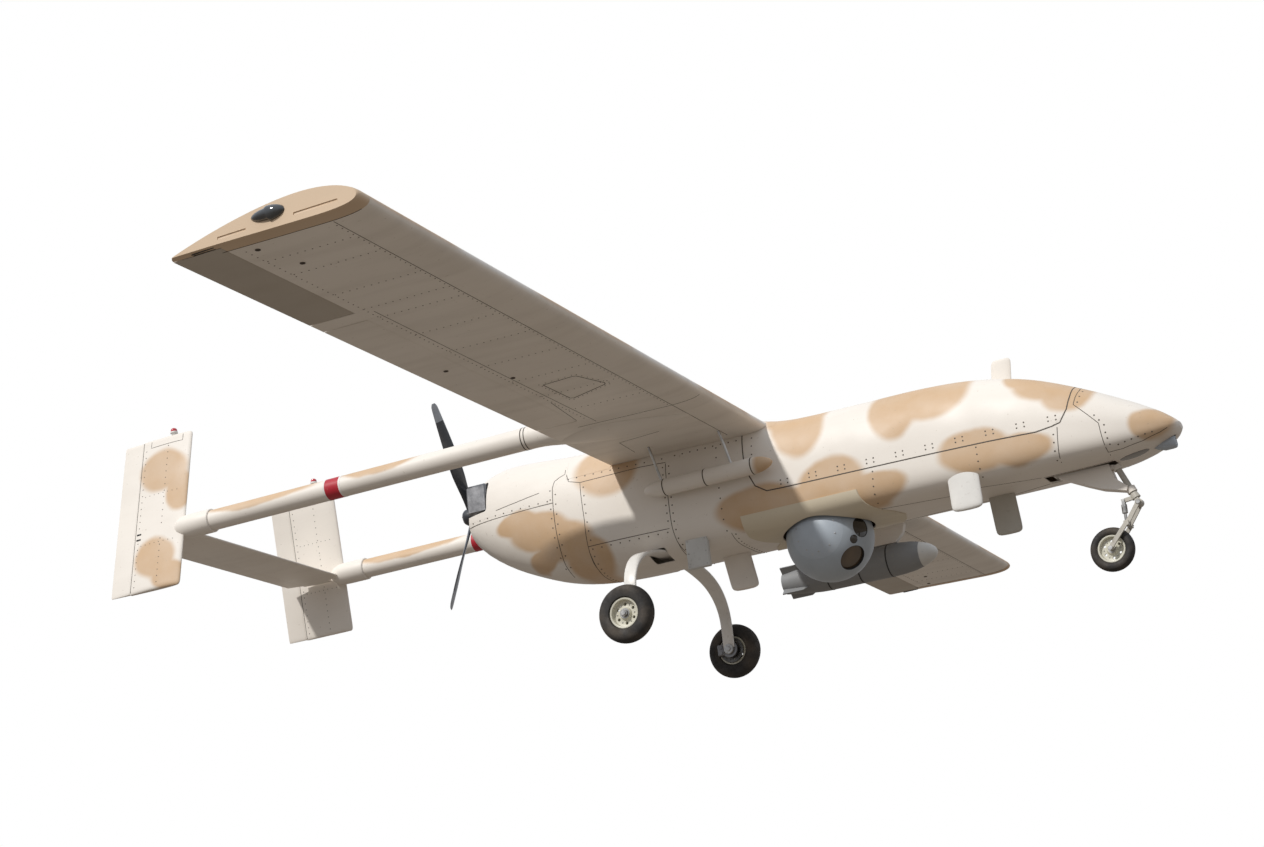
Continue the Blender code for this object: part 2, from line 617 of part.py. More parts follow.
# ---------------------------------------------------------------- engine and propeller
# Blade sections as (radius, chord, pitch in degrees, thickness)
BLADE_SECTIONS = ((0.02, 0.04, 60, 0.02), (0.12, 0.05, 48, 0.017), (0.28, 0.083, 36, 0.013),
                  (0.45, 0.08, 26, 0.010), (0.62, 0.062, 20, 0.007), (0.69, 0.05, 18, 0.005),
                  (PROP_R, 0.026, 17, 0.004))


def make_engine(cast, steel, black):
    axis = (1, 0, 0)
    drum = turned([(-0.83, 0.105), (-0.82, 0.125), (-0.56, 0.125), (-0.55, 0.105)],
                  (0, 0, SHAFT_Z), axis, 24)
    fins = [turned([(x, 0.138), (x + 0.014, 0.138)], (0, 0, SHAFT_Z), axis, 24)
            for x in (-0.79, -0.74, -0.69, -0.64)]
    plate = box((-0.56, -0.11, 1.0), (-0.545, 0.11, 1.22))
    case = turned([(-1.048, 0.05), (-1.040, 0.066), (-0.93, 0.078), (-0.88, 0.10), (-0.80, 0.10)],
                  (0, 0, SHAFT_Z), axis, 20)
    bore = rod((-1.2, 0, SHAFT_Z), (-0.859, 0, SHAFT_Z), 0.0206, 16)
    starter = rod((-0.99, -0.085, 1.165), (-0.84, -0.085, 1.165), 0.036, 14)
    gearbox = box((-1.045, -0.165, 1.068), (-0.91, -0.05, 1.242), 0.012)
    block = join(drum, *fins, plate, case, starter, gearbox)
    finish("engine_block", cut(block, bore), cast)
    mount = [rod((-0.5445, y, z), (-0.446, y, z), 0.012, 10)
             for y, z in ((0.08, 1.18), (-0.08, 1.18), (0.08, 1.04), (-0.08, 1.04))]
    firewall = keep(fuselage_body(-SKIN - GAP), box((-0.452, -1, 0), (-0.444, 1, 2)))
    finish("engine_mount", join(firewall, *mount), steel)
    shaft = rod((PROP_X, 0, SHAFT_Z), (-0.86, 0, SHAFT_Z), 0.020, 16)

    hub = turned([(-0.055, 0.02), (-0.05, 0.042), (-0.03, 0.05), (0.03, 0.05), (0.045, 0.036)],
                 (PROP_X, 0, SHAFT_Z), axis, 20)
    blades = []
    for turn in (150, 270, 30):
        rings = []
        for r, chord, pitch, thick in BLADE_SECTIONS:
            tilt = math.radians(pitch)
            ring = []
            for k in range(10):
                a = 2 * math.pi * k / 10
                u, v = chord / 2 * math.cos(a), thick / 2 * math.sin(a)
                ring.append((u * math.sin(tilt) - v * math.cos(tilt),
                             u * math.cos(tilt) + v * math.sin(tilt), r))
            rings.append(ring)
        blade = loft(rings)
        spin = Matrix.Rotation(math.radians(turn), 4, "X")
        blade.transform(Matrix.Translation((PROP_X, 0, SHAFT_Z)) @ spin)
        blades.append(blade)
    finish("propeller", join(hub, shaft, *blades), black, (PROP_X, 0, SHAFT_Z))


# ---------------------------------------------------------------- turret
def facing(azimuth, elevation):
    a, e = math.radians(azimuth), math.radians(elevation)
    return Vector((math.cos(e) * math.cos(a), math.cos(e) * math.sin(a), math.sin(e)))


def sphere(radius, centre, segments=24, rings=14):
    bm = bmesh.new()
    bmesh.ops.create_uvsphere(bm, u_segments=segments, v_segments=rings, radius=radius)
    bmesh.ops.translate(bm, vec=centre, verts=bm.verts)
    return to_mesh(bm)


WINDOWS = (("turret_window", -32, -43, 0.074), ("", -25, -3, 0.044))


def make_turret(paint_grey, glass):
    centre = Vector((TURRET_X, 0, TURRET_Z))
    flat = TURRET_R * 0.786
    ball = sphere(TURRET_R, centre)
    sides = [box((TURRET_X - 0.3, y0, 0.2), (TURRET_X + 0.3, y1, 0.8))
             for y0, y1 in ((-0.4, -flat), (flat, 0.4))]
    bores = []
    for name, azimuth, elevation, radius in WINDOWS:
        look = facing(azimuth, elevation)
        depth = math.sqrt(TURRET_R ** 2 - radius ** 2)
        floor = 0.016 if name else 0.006
        bores.append(turned([(depth - floor, radius), (depth + 0.2, radius)], centre, look, 20))
        if name:
            lens = turned([(depth - 0.0155, radius - GAP), (depth - 0.004, radius - GAP),
                           (depth - 0.001, radius * 0.8)], centre, look, 20)
            finish(name, lens, glass, centre)
    finish("turret_ball", cut(ball, *sides, *bores), paint_grey, centre)

    cap_start = flat + GAP
    yokes = []
    for side in (-1, 1):
        cheek = keep(sphere(TURRET_R, centre, 28, 16),
                     box((TURRET_X - 0.2, min(side * cap_start, side * 0.4), 0.2),
                         (TURRET_X + 0.2, max(side * cap_start, side * 0.4), 0.75)))
        arm = box((TURRET_X - 0.09, min(side * cap_start, side * 0.213), TURRET_Z + 0.02),
                  (TURRET_X + 0.09, max(side * cap_start, side * 0.213), 0.755))
        yokes.append(join(cheek, arm))
    plate = turned([(0.7455, 0.215), (0.7605, 0.215), (0.761, 0.15), (0.7755, 0.15)],
                   (TURRET_X, 0, 0), (0, 0, 1), 28)
    finish("turret_yoke", join(plate, *yokes), paint_grey, centre)


# ---------------------------------------------------------------- landing gear
def tyre_profile(radius, width, rim):
    """Closed tyre section as (across, radius) points: tread, round shoulders and beads."""
    half = width / 2
    points = []
    for angle in (0, 30, 60, 90, 120, 150, 180):
        a = math.radians(angle)
        points.append((-half * math.cos(a) * (1 if angle in (0, 180) else 0.98),
                       rim + (radius - rim) * (0.42 + 0.58 * math.sin(a) ** 0.8)))
    return [(-half * 0.72, rim + GAP)] + points + [(half * 0.72, rim + GAP)]


def make_wheel(tag, centre, radius, width, rim, bore, tyre_black, rim_cream):
    centre = Vector(centre)
    finish("tyre_" + tag, turned(tyre_profile(radius, width, rim), centre, (0, 1, 0), 24, ring=True),
           tyre_black, centre)
    w = width / 2
    profile = [(-w * 0.5, bore), (-w * 0.5, rim * 0.36), (-w * 0.2, rim * 0.42), (-w * 0.2, rim * 0.80),
               (-w * 0.74, rim * 0.88), (-w * 0.78, rim * 1.06), (-w * 0.73, rim * 1.06), (-w * 0.70, rim),
               (w * 0.70, rim), (w * 0.73, rim * 1.06), (w * 0.78, rim * 1.06), (w * 0.74, rim * 0.88),
               (w * 0.2, rim * 0.80), (w * 0.2, rim * 0.42), (w * 0.5, rim * 0.36), (w * 0.5, bore)]
    profile = [(t, min(r, rim) if abs(t) < w * 0.725 else r) for t, r in profile]
    trimmed = [(t, r if r <= rim else rim - 0.0002) for t, r in profile]
    finish("rim_" + tag, turned(trimmed, centre, (0, 1, 0), 24, ring=True), rim_cream, centre)


SPRING = ((0.0, 0.585), (0.17, 0.583), (0.30, 0.566), (0.42, 0.535), (0.51, 0.492), (0.575, 0.432),
          (0.612, 0.36), (0.622, 0.28), (0.622, 0.165))


def make_main_gear(sand, tyre_black, rim_cream):
    """One bowed leaf spring across the belly carries a braked wheel at each end."""
    path = [Vector((y, z)) for y, z in SPRING]
    path = [Vector((-p.x, p.y)) for p in path[:0:-1]] + path
    rings = []
    for i, p in enumerate(path):
        direction = (path[min(i + 1, len(path) - 1)] - path[max(i - 1, 0)]).normalized()
        normal = Vector((-direction.y, direction.x))
        half_width = 0.034 if 3 < i < len(path) - 4 else 0.030
        ring = []
        for dx, dn in ((1, 1), (1, -1), (-1, -1), (-1, 1)):
            q = p + normal * dn * 0.0075
            ring.append((MAIN_X + dx * half_width, q.x, q.y))
        rings.append(ring)

    axle_y = 0.620
    stub = rod((MAIN_X, axle_y, MAIN_R), (MAIN_X, MAIN_Y + 0.045, MAIN_R), 0.014, 14)
    caliper = box((MAIN_X - 0.06, axle_y, MAIN_R - 0.03), (MAIN_X - 0.02, axle_y + 0.022, MAIN_R + 0.03))
    flange = rod((MAIN_X, axle_y, MAIN_R), (MAIN_X, axle_y + 0.026, MAIN_R), 0.04, 20)
    axles = join(flange, caliper, stub)
    finish("gear_spring", join(loft(rings), axles, mirrored(axles)), sand)
    for tag, side in (("right", -1), ("left", 1)):
        make_wheel(tag, (MAIN_X, side * MAIN_Y, MAIN_R), MAIN_R, MAIN_WIDTH, 0.083, 0.0145,
                   tyre_black, rim_cream)


def bar(start, end, half_thick, half_wide, centre_y=0.0):
    """Flat bar in a fore-and-aft plane between two points."""
    start, end = Vector(start), Vector(end)
    way = (end - start).normalized()
    normal = Vector((-way.z, 0, way.x))
    rings = []
    for p in (start - way * half_thick, end + way * half_thick):
        ring = []
        for dn, dy in ((1, 1), (1, -1), (-1, -1), (-1, 1)):
            q = p + normal * dn * half_thick
            ring.append((q.x, centre_y + dy * half_wide, q.z))
        rings.append(ring)
    return loft(rings)


def make_nose_gear(grey, steel, tyre_black, rim_cream):
    way = (KNEE - LEG_TOP).normalized()
    collar_point = LEG_TOP + way * 0.125
    plate = [(2.36, 0.552), (2.655, 0.552), (2.675, 0.47), (2.732, 0.418), (2.724, 0.394), (2.60, 0.43),
             (2.52, 0.468)]
    bracket = prism(plate, -0.036, 0.036)
    hollow = prism(grown(plate, -0.004), -0.032, 0.032)
    hollow = cut(hollow, box((2.64, -1, 0.3), (2.8, 1, 0.7)))
    top_open = box((2.37, -0.032, 0.54), (2.63, 0.032, 0.6))
    collar = turned([(0.0, 0.026), (0.03, 0.026)], collar_point, way, 16)
    mount = turned([(-0.012, 0.024), (0.012, 0.024)], LEG_TOP, way, 16)
    web = bar(LEG_TOP + Vector((-0.05, 0, 0.008)), LEG_TOP + Vector((-0.02, 0, 0.004)), 0.012, 0.02)
    bore = turned([(-0.1, 0.0166), (0.3, 0.0166)], LEG_TOP, way, 16)
    bracket = join(cut(cut(bracket, hollow), top_open), collar, mount, web)
    finish("nose_gear_bracket", cut(bracket, bore), grey)

    leg = turned([(-0.015, 0.016), (0.165, 0.016)], LEG_TOP, way, 16)
    crown = turned([(0.157, 0.02), (0.19, 0.024)], LEG_TOP, way, 16)
    knee = rod(KNEE + Vector((0, -0.022, 0)), KNEE + Vector((0, 0.022, 0)), 0.020, 18)
    arm = bar(LEG_TOP + way * 0.175, KNEE, 0.011, 0.018)
    lug = bar(SHOCK_TOP + Vector((0.0, 0, 0.0)), LEG_TOP + way * 0.182, 0.010, 0.008)
    knee_bore = rod(KNEE + Vector((0, -0.1, 0)), KNEE + Vector((0, 0.1, 0)), 0.0086, 14)
    pin_bore = rod(SHOCK_TOP + Vector((0, -0.1, 0)), SHOCK_TOP + Vector((0, 0.1, 0)), 0.0046, 12)
    finish("nose_leg", cut(join(leg, crown, knee, arm, lug), knee_bore, pin_bore), grey, LEG_TOP)

    axle = Vector((NOSE_WHEEL_X, 0, NOSE_R))
    elbow = Vector((2.694, 0, 0.226))
    parts = []
    for side in (-1, 1):
        y = side * 0.047
        upper = bar(KNEE, elbow, 0.011, 0.006, side * 0.029)
        spread = box((elbow.x - 0.012, min(side * 0.022, side * 0.053), elbow.z - 0.012),
                     (elbow.x + 0.012, max(side * 0.022, side * 0.053), elbow.z + 0.012))
        parts += [upper, spread, bar(elbow, axle, 0.011, 0.006, y)]
    pivot = rod(KNEE + Vector((0, -0.035, 0)), KNEE + Vector((0, 0.035, 0)), 0.008, 14)
    spindle = rod(axle + Vector((0, -0.053, 0)), axle + Vector((0, 0.053, 0)), 0.010, 14)
    pin = rod(SHOCK_PIN + Vector((0, -0.03, 0)), SHOCK_PIN + Vector((0, 0.03, 0)), 0.0045, 12)
    fork = parts[0]
    for other in parts[1:] + [pivot, spindle, pin]:
        fork = join(fork, other)
    finish("nose_fork", fork, grey, KNEE)
    make_wheel("nose", axle, NOSE_R, NOSE_WIDTH, 0.072, 0.0105, tyre_black, rim_cream)

    down = (SHOCK_PIN - SHOCK_TOP).normalized()
    body = turned([(0.018, 0.0125), (0.022, 0.015), (0.064, 0.015), (0.066, 0.012)], SHOCK_TOP, down, 16)
    eyes = [bar(SHOCK_TOP, SHOCK_TOP + down * 0.024, 0.008, 0.003, side * 0.0116) for side in (-1, 1)]
    pin = rod(SHOCK_TOP + Vector((0, -0.0146, 0)), SHOCK_TOP + Vector((0, 0.0146, 0)), 0.004, 12)
    bore = turned([(0.03, 0.0086), (0.2, 0.0086)], SHOCK_TOP, down, 14)
    finish("shock_cylinder", cut(join(body, *eyes, pin), bore), steel, SHOCK_TOP)
    length = (SHOCK_PIN - SHOCK_TOP).length
    stem = turned([(0.05, 0.008), (length - 0.011, 0.008)], SHOCK_TOP, down, 14)
    eye = rod(SHOCK_PIN + Vector((0, -0.009, 0)), SHOCK_PIN + Vector((0, 0.009, 0)), 0.0125, 16)
    eye_bore = rod(SHOCK_PIN + Vector((0, -0.1, 0)), SHOCK_PIN + Vector((0, 0.1, 0)), 0.0065, 14)
    finish("shock_rod", cut(join(stem, eye), eye_bore), steel, SHOCK_PIN)


# ---------------------------------------------------------------- antennas, pod and store
def blade(low_x, high_x, y, low_z, high_z, half_thick, rake=0.0, corner=0.02):
    """Rounded blade antenna, tapered at its two edges."""
    outline = [(0.0, 0.0), (0.18, 1.0), (0.5, 1.15), (0.82, 1.0), (1.0, 0.25), (1.0, -0.25),
               (0.82, -1.0), (0.5, -1.15), (0.18, -1.0)]
    rings = []
    length = high_x - low_x
    for z, share in ((low_z, 0.86), (low_z + math.copysign(corner, high_z - low_z), 1.0), (high_z, 1.0)):
        shift = rake * (z - high_z)
        rings.append([(low_x + shift + length * (0.5 + (a - 0.5) * share), y + b * half_thick * share, z)
                      for a, b in outline])
    return loft(rings)


def make_antennas(white, sand):
    body = fuselage_body(GAP, start=0.2, end=2.6)
    blades = (("top_antenna", white, 2.105, 2.215, 0.0, 1.255, 1.10, 0.008, 0.12),
              ("belly_antenna_side", white, 1.865, 2.035, -0.262, 0.42, 0.66, 0.021, 0.0),
              ("belly_antenna_front", sand, 1.965, 2.11, 0.09, 0.335, 0.60, 0.018, -0.06),
              ("belly_antenna_rear", sand, 0.415, 0.58, 0.06, 0.343, 0.60, 0.024, -0.16))
    for name, material, x0, x1, y, tip, root, thick, rake in blades:
        finish(name, cut(blade(x0, x1, y, tip, root, thick, rake), body), material)


def make_pods(sand, store_grey):
    pod_y, pod_z, pod_r = -0.375, 0.888, 0.046
    profile = [(0.19, 0.006), (0.205, 0.024), (0.24, 0.038), (0.30, pod_r), (0.86, pod_r), (0.91, 0.036),
               (0.945, 0.018), (0.957, 0.005)]
    pod = turned(profile, (0, pod_y, pod_z), (1, 0, 0), 18)
    hangers = [rod((top_x, -0.436, 1.13), (low_x, -0.385, 0.90), 0.0075, 10)
               for top_x, low_x in ((0.268, 0.31), (0.689, 0.73))]
    finish("side_pod", cut(join(pod, *hangers), span_prism(wing_outline(grow=GAP), -0.9, 0.0)), sand)

    body = turned([(-0.10, 0.066), (-0.095, 0.072), (0.10, 0.098), (0.20, STORE_R), (0.66, STORE_R),
                   (0.80, 0.094), (0.90, 0.064), (0.945, 0.034), (0.96, 0.008)],
                  (0, STORE_Y, STORE_Z), (1, 0, 0), 24)
    fins = []
    for turn in (45, 135):
        plate = prism([(-0.09, 0.125), (-0.09, -0.125), (0.05, -0.125), (0.13, -0.08), (0.13, 0.08),
                       (0.05, 0.125)], -0.005, 0.005, "z")
        spin = Matrix.Rotation(math.radians(turn), 4, "X")
        plate.transform(Matrix.Translation((0, STORE_Y, STORE_Z)) @ spin)
        fins.append(plate)
    finish("store", join(body, *fins), store_grey)
    pylon = prism([(0.43, 1.16), (0.78, 1.16), (0.76, 1.06), (0.70, STORE_Z + STORE_R + 0.0035),
                   (0.46, STORE_Z + STORE_R + 0.0035)], STORE_Y - 0.02, STORE_Y + 0.02)
    finish("store_pylon", cut(pylon, span_prism(wing_outline(grow=GAP), 2.0, 2.6)), sand)


# ---------------------------------------------------------------- assembly
def main():
    clear_scene()
    sand = paint("sand", (0.83, 0.76, 0.66), 0.5)
    under = paint("under", (0.30, 0.25, 0.20), 0.6)
    khaki = paint("khaki", (0.62, 0.53, 0.38), 0.55)
    turret_grey = paint("turret_grey", (0.33, 0.38, 0.42), 0.4)
    glass = paint("glass", (0.03, 0.03, 0.025), 0.1)
    steel = paint("steel", (0.45, 0.45, 0.44), 0.35, 0.9)
    cast = paint("cast", (0.22, 0.22, 0.23), 0.45, 0.8)
    black = paint("black", (0.02, 0.022, 0.025), 0.4)
    red = paint("red", (0.45, 0.02, 0.03), 0.25)
    white = paint("white", (0.86, 0.83, 0.78), 0.45)
    grey = paint("grey", (0.42, 0.41, 0.38), 0.5)
    store_grey = paint("store_grey", (0.18, 0.18, 0.16), 0.55)
    tyre_black = paint("tyre_black", (0.02, 0.018, 0.016), 0.8)
    rim_cream = paint("rim_cream", (0.60, 0.60, 0.50), 0.4)

    make_fuselage(sand, turret_grey)
    make_turret_fairing(khaki)
    make_bay_contents(white, grey, black)
    make_wing(sand, under, glass)
    make_booms(sand)
    make_tail(sand, red)
    make_engine(cast, steel, black)
    make_turret(turret_grey, glass)
    make_main_gear(sand, tyre_black, rim_cream)
    make_nose_gear(grey, steel, tyre_black, rim_cream)
    make_antennas(white, sand)
    make_pods(sand, store_grey)


main()
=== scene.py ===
import math

import bmesh
import bpy
from mathutils import Matrix, Vector


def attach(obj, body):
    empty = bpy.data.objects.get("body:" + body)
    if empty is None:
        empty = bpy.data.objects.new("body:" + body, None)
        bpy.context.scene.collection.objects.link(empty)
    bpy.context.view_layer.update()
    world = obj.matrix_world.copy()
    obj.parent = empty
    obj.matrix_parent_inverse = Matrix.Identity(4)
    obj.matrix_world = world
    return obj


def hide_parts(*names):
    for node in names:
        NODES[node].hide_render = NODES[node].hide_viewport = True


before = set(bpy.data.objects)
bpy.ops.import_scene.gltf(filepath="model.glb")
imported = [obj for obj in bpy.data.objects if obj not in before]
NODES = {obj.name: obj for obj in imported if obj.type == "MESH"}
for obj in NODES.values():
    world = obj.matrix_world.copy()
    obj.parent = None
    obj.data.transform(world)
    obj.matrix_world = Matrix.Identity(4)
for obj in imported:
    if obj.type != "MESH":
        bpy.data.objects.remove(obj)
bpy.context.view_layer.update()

# ---------------------------------------------------------------- dimensions, as in the CAD model
GAP = 0.0005
SKIN = 0.004
HALF_SPAN = 4.25
WING_LE_X = 0.880
WING_CHORD = 0.925
WING_LE_Z = 1.150
WING_TE_Z = 1.122
WING_THICKNESS = 0.145
WING_CAMBER = 0.04
CENTRE_HALF = 1.03
TIP_Y = 4.17
HINGE_X = 0.180
COVE_GAP = 0.0025
AILERON_Y = (3.235, 4.215)
FLAP_Y = (1.13, 3.12)
BOOM_Y = 0.817
BOOM_Z = 1.205
BOOM_R = 0.060
BOOM_END_X = -2.52
FIN_LE_X = -2.543
FIN_SWEEP = 0.0254
FIN_CHORD = 0.492
FIN_TOP = (0.736, 1.815)
FIN_BOTTOM = (0.906, 0.850)
RUDDER_SHARE = 0.735
FIN_THICKNESS = 0.085
STAB_LE_X = -2.550
STAB_CHORD = 0.404
STAB_Z = 1.190
STAB_THICKNESS = 0.09
ELEVATOR_SHARE = 0.72
ELEVATOR_HALF = 0.785
HALF_EDGE = 0.0012
PROP_X = -1.100
SHAFT_Z = 1.110
PROP_R = 0.710
TURRET_X = 1.087
TURRET_Z = 0.502
TURRET_R = 0.239
MAIN_X = 0.156
MAIN_Y = 0.701
MAIN_R = 0.157
MAIN_WIDTH = 0.094
NOSE_WHEEL_X = 2.592
NOSE_R = 0.115
NOSE_WIDTH = 0.068
STORE_Y = 2.30
STORE_Z = 0.885
STORE_R = 0.105

CROWN = ((-1.16, 1.17), (-1.0, 1.268), (-0.9, 1.312), (-0.78, 1.33), (-0.6, 1.32), (-0.4, 1.3),
         (-0.1, 1.288), (0.3, 1.283), (0.55, 1.272), (0.75, 1.24), (0.9, 1.2), (1.05, 1.182),
         (1.4, 1.178), (1.77, 1.176), (2.05, 1.152), (2.32, 1.09), (2.57, 0.985), (2.82, 0.855),
         (2.97, 0.762), (3.03, 0.712), (3.047, 0.695))
KEEL = ((-1.16, 1.05), (-1.04, 0.885), (-0.88, 0.757), (-0.69, 0.657), (-0.5, 0.583), (-0.32, 0.546),
        (-0.1, 0.534), (0.2, 0.537), (0.8, 0.542), (1.5, 0.545), (2.4, 0.547), (2.65, 0.552),
        (2.8, 0.566), (2.92, 0.592), (3.0, 0.622), (3.035, 0.648), (3.047, 0.665))
HALF_WIDTH = ((-1.16, 0.07), (-1.04, 0.145), (-0.9, 0.2), (-0.69, 0.25), (-0.45, 0.285), (-0.1, 0.3),
              (0.5, 0.3), (2.0, 0.3), (2.4, 0.288), (2.65, 0.258), (2.85, 0.205), (2.95, 0.158),
              (3.02, 0.1), (3.047, 0.05))
WIDEST_Z = ((-1.16, 1.11), (-0.9, 1.02), (-0.4, 0.9), (0.3, 0.82), (1.2, 0.79), (2.4, 0.75),
            (2.8, 0.685), (3.0, 0.67), (3.047, 0.678))
TOP_POWER = ((-1.16, 2.0), (-0.4, 2.4), (0.6, 2.7), (2.4, 2.5), (3.047, 2.1))
BELLY_POWER = ((-1.16, 2.0), (-0.5, 2.2), (0.1, 3.0), (0.9, 4.0), (2.4, 4.0), (2.9, 3.0), (3.047, 2.2))

NOSE_SEAM = ((2.605, 1.6), (2.605, 0.93), (2.58, 0.84), (2.69, 0.716), (2.70, 0.5), (2.70, 0.2),
             (4.0, 0.2), (4.0, 1.6))
COVER_EDGE = ((0.766, 1.6), (0.766, 0.86), (0.785, 0.8), (0.84, 0.765), (0.95, 0.758), (2.36, 0.735),
              (2.46, 0.745), (2.53, 0.79), (2.565, 0.88), (2.58, 1.0), (2.58, 1.6))
COWL_FRONT = ((-0.335, 1.6), (-0.335, 1.125), (-0.385, 1.105), (-0.42, 1.065), (-0.42, 0.2),
              (-2.0, 0.2), (-2.0, 1.6))
COWL_END = ((-0.975, 1.6), (-0.985, 1.33), (-1.065, 1.0), (-1.065, 0.2), (-2.0, 0.2), (-2.0, 1.6))
SPLIT = ((-0.42, 0.985), (-1.3, 1.04))
FAIRING_FRONT_X = 0.93
FAIRING_Z = 1.105
SHELF_Z = 1.135


# ---------------------------------------------------------------- mesh helpers
def to_mesh(bm):
    bmesh.ops.recalc_face_normals(bm, faces=bm.faces)
    mesh = bpy.data.meshes.new("solid")
    bm.to_mesh(mesh)
    bm.free()
    return mesh


def loft(rings):
    """Joins equal rings of points by quads and caps the ends."""
    bm = bmesh.new()
    rows = [[bm.verts.new(p) for p in ring] for ring in rings]
    count = len(rows[0])
    for a, b in zip(rows, rows[1:]):
        for i in range(count):
            j = (i + 1) % count
            bm.faces.new((a[i], a[j], b[j], b[i]))
    bm.faces.new(rows[0])
    bm.faces.new(rows[-1])
    return to_mesh(bm)


def box(low, high, bevel=0.0, segments=2):
    bm = bmesh.new()
    bmesh.ops.create_cube(bm, size=1.0)
    bmesh.ops.scale(bm, vec=[b - a for a, b in zip(low, high)], verts=bm.verts)
    bmesh.ops.translate(bm, vec=[(a + b) / 2 for a, b in zip(low, high)], verts=bm.verts)
    if bevel:
        bmesh.ops.bevel(bm, geom=bm.edges[:], offset=bevel, segments=segments, affect="EDGES", profile=0.5)
    return to_mesh(bm)


def prism(outline, low, high, axis="y"):
    """Extrudes (x, z) points along y, (x, y) points along z or (y, z) points along x."""
    place = {"y": lambda a, b, t: (a, t, b), "z": lambda a, b, t: (a, b, t),
             "x": lambda a, b, t: (t, a, b)}[axis]
    return loft([[place(a, b, t) for a, b in outline] for t in (low, high)])


def turns(count):
    """Evenly spaced angles of a full turn."""
    return [2 * math.pi * k / count for k in range(count)]


def turned(profile, origin, axis, segments=48, ring=False):
    """Turns (distance along the axis, radius) points about the axis. A ring profile is a closed loop."""
    axis = Vector(axis).normalized()
    side = Vector((0, 0, 1)) if abs(axis.z) < 0.9 else Vector((1, 0, 0))
    side = (side - axis * side.dot(axis)).normalized()
    other = axis.cross(side)
    bm = bmesh.new()
    rows = []
    for angle in turns(segments):
        out = side * math.cos(angle) + other * math.sin(angle)
        rows.append([bm.verts.new(Vector(origin) + axis * t + out * r) for t, r in profile])
    count = len(profile)
    last = count if ring else count - 1
    for k in range(segments):
        a, b = rows[k], rows[(k + 1) % segments]
        for i in range(last):
            j = (i + 1) % count
            bm.faces.new((a[i], a[j], b[j], b[i]))
    if not ring:
        bm.faces.new([row[0] for row in rows])
        bm.faces.new([row[-1] for row in rows])
    return to_mesh(bm)


def hoop(start, end, inner, outer, centre, axis=(1, 0, 0), segments=56):
    """Thin ring round an axis, from start to end along it."""
    return turned([(start, inner), (start, outer), (end, outer), (end, inner)], centre, axis, segments,
                  ring=True)


def rod(start, end, radius, segments=24, chamfer=0.0):
    start, end = Vector(start), Vector(end)
    length = (end - start).length
    profile = [(0, radius), (length, radius)]
    if chamfer:
        profile = [(0, radius - chamfer), (chamfer, radius), (length - chamfer, radius),
                   (length, radius - chamfer)]
    return turned(profile, start, end - start, segments)


def combine(base, others, operation):
    """Applies Boolean modifiers to a copy of the base mesh and returns the result."""
    target = bpy.data.objects.new("target", base.copy())
    bpy.context.scene.collection.objects.link(target)
    helpers = []
    for other in others:
        helper = bpy.data.objects.new("cutter", other)
        bpy.context.scene.collection.objects.link(helper)
        helpers.append(helper)
        modifier = target.modifiers.new("boolean", "BOOLEAN")
        modifier.operation = operation
        modifier.solver = "EXACT"
        modifier.object = helper
    bpy.context.view_layer.update()
    graph = bpy.context.evaluated_depsgraph_get()
    mesh = bpy.data.meshes.new_from_object(target.evaluated_get(graph))
    for obj in [target] + helpers:
        bpy.data.objects.remove(obj, do_unlink=True)
    bm = bmesh.new()
    bm.from_mesh(mesh)
    bmesh.ops.recalc_face_normals(bm, faces=bm.faces)
    bm.to_mesh(mesh)
    bm.free()
    return mesh


def cut(base, *others):
    return combine(base, others, "DIFFERENCE")


def join(base, *others):
    return combine(base, others, "UNION")


def keep(base, *others):
    return combine(base, others, "INTERSECT")


def gather(*meshes):
    """Puts several solids in one mesh."""
    bm = bmesh.new()
    for mesh in meshes:
        bm.from_mesh(mesh)
    group = bpy.data.meshes.new("group")
    bm.to_mesh(group)
    bm.free()
    return group


def mirrored(mesh):
    copy = mesh.copy()
    copy.transform(Matrix.Scale(-1, 4, (0, 1, 0)))
    copy.flip_normals()
    return copy


def moved(mesh, matrix):
    copy = mesh.copy()
    copy.transform(matrix)
    return copy


# ---------------------------------------------------------------- curves of the airframe
def along(points, x):
    """Smooth curve through (x, value) points, flat beyond its ends."""
    if x <= points[0][0]:
        return points[0][1]
    if x >= points[-1][0]:
        return points[-1][1]
    i = max(k for k in range(len(points) - 1) if points[k][0] <= x)

    def slope(k):
        a, b = max(k - 1, 0), min(k + 1, len(points) - 1)
        return (points[b][1] - points[a][1]) / (points[b][0] - points[a][0])

    (x0, y0), (x1, y1) = points[i], points[i + 1]
    span = x1 - x0
    t = (x - x0) / span
    h1 = 2 * t ** 3 - 3 * t ** 2 + 1
    return (h1 * y0 + (1 - h1) * y1 + (t ** 3 - 2 * t ** 2 + t) * span * slope(i)
            + (t ** 3 - t ** 2) * span * slope(i + 1))


def steps(low, high, step):
    count = max(1, round((high - low) / step))
    return [low + (high - low) * k / count for k in range(count + 1)]


def fuselage_ring(x, grow=0.0, count=96):
    """Cross-section at x: two half super-ellipses that meet at the widest height."""
    width = along(HALF_WIDTH, x) + grow
    middle = along(WIDEST_Z, x)
    crown, keel = along(CROWN, x), along(KEEL, x)
    powers = along(TOP_POWER, x), along(BELLY_POWER, x)
    points = []
    for k in range(count):
        angle = 2 * math.pi * (k + 0.5) / count
        c, s = math.cos(angle), math.sin(angle)
        power = powers[0] if s > 0 else powers[1]
        height = (crown - middle if s > 0 else middle - keel) + grow
        y = width * math.copysign(abs(c) ** (2 / power), c)
        z = middle + height * math.copysign(abs(s) ** (2 / power), s)
        points.append(Vector((x, y, z)))
    return points


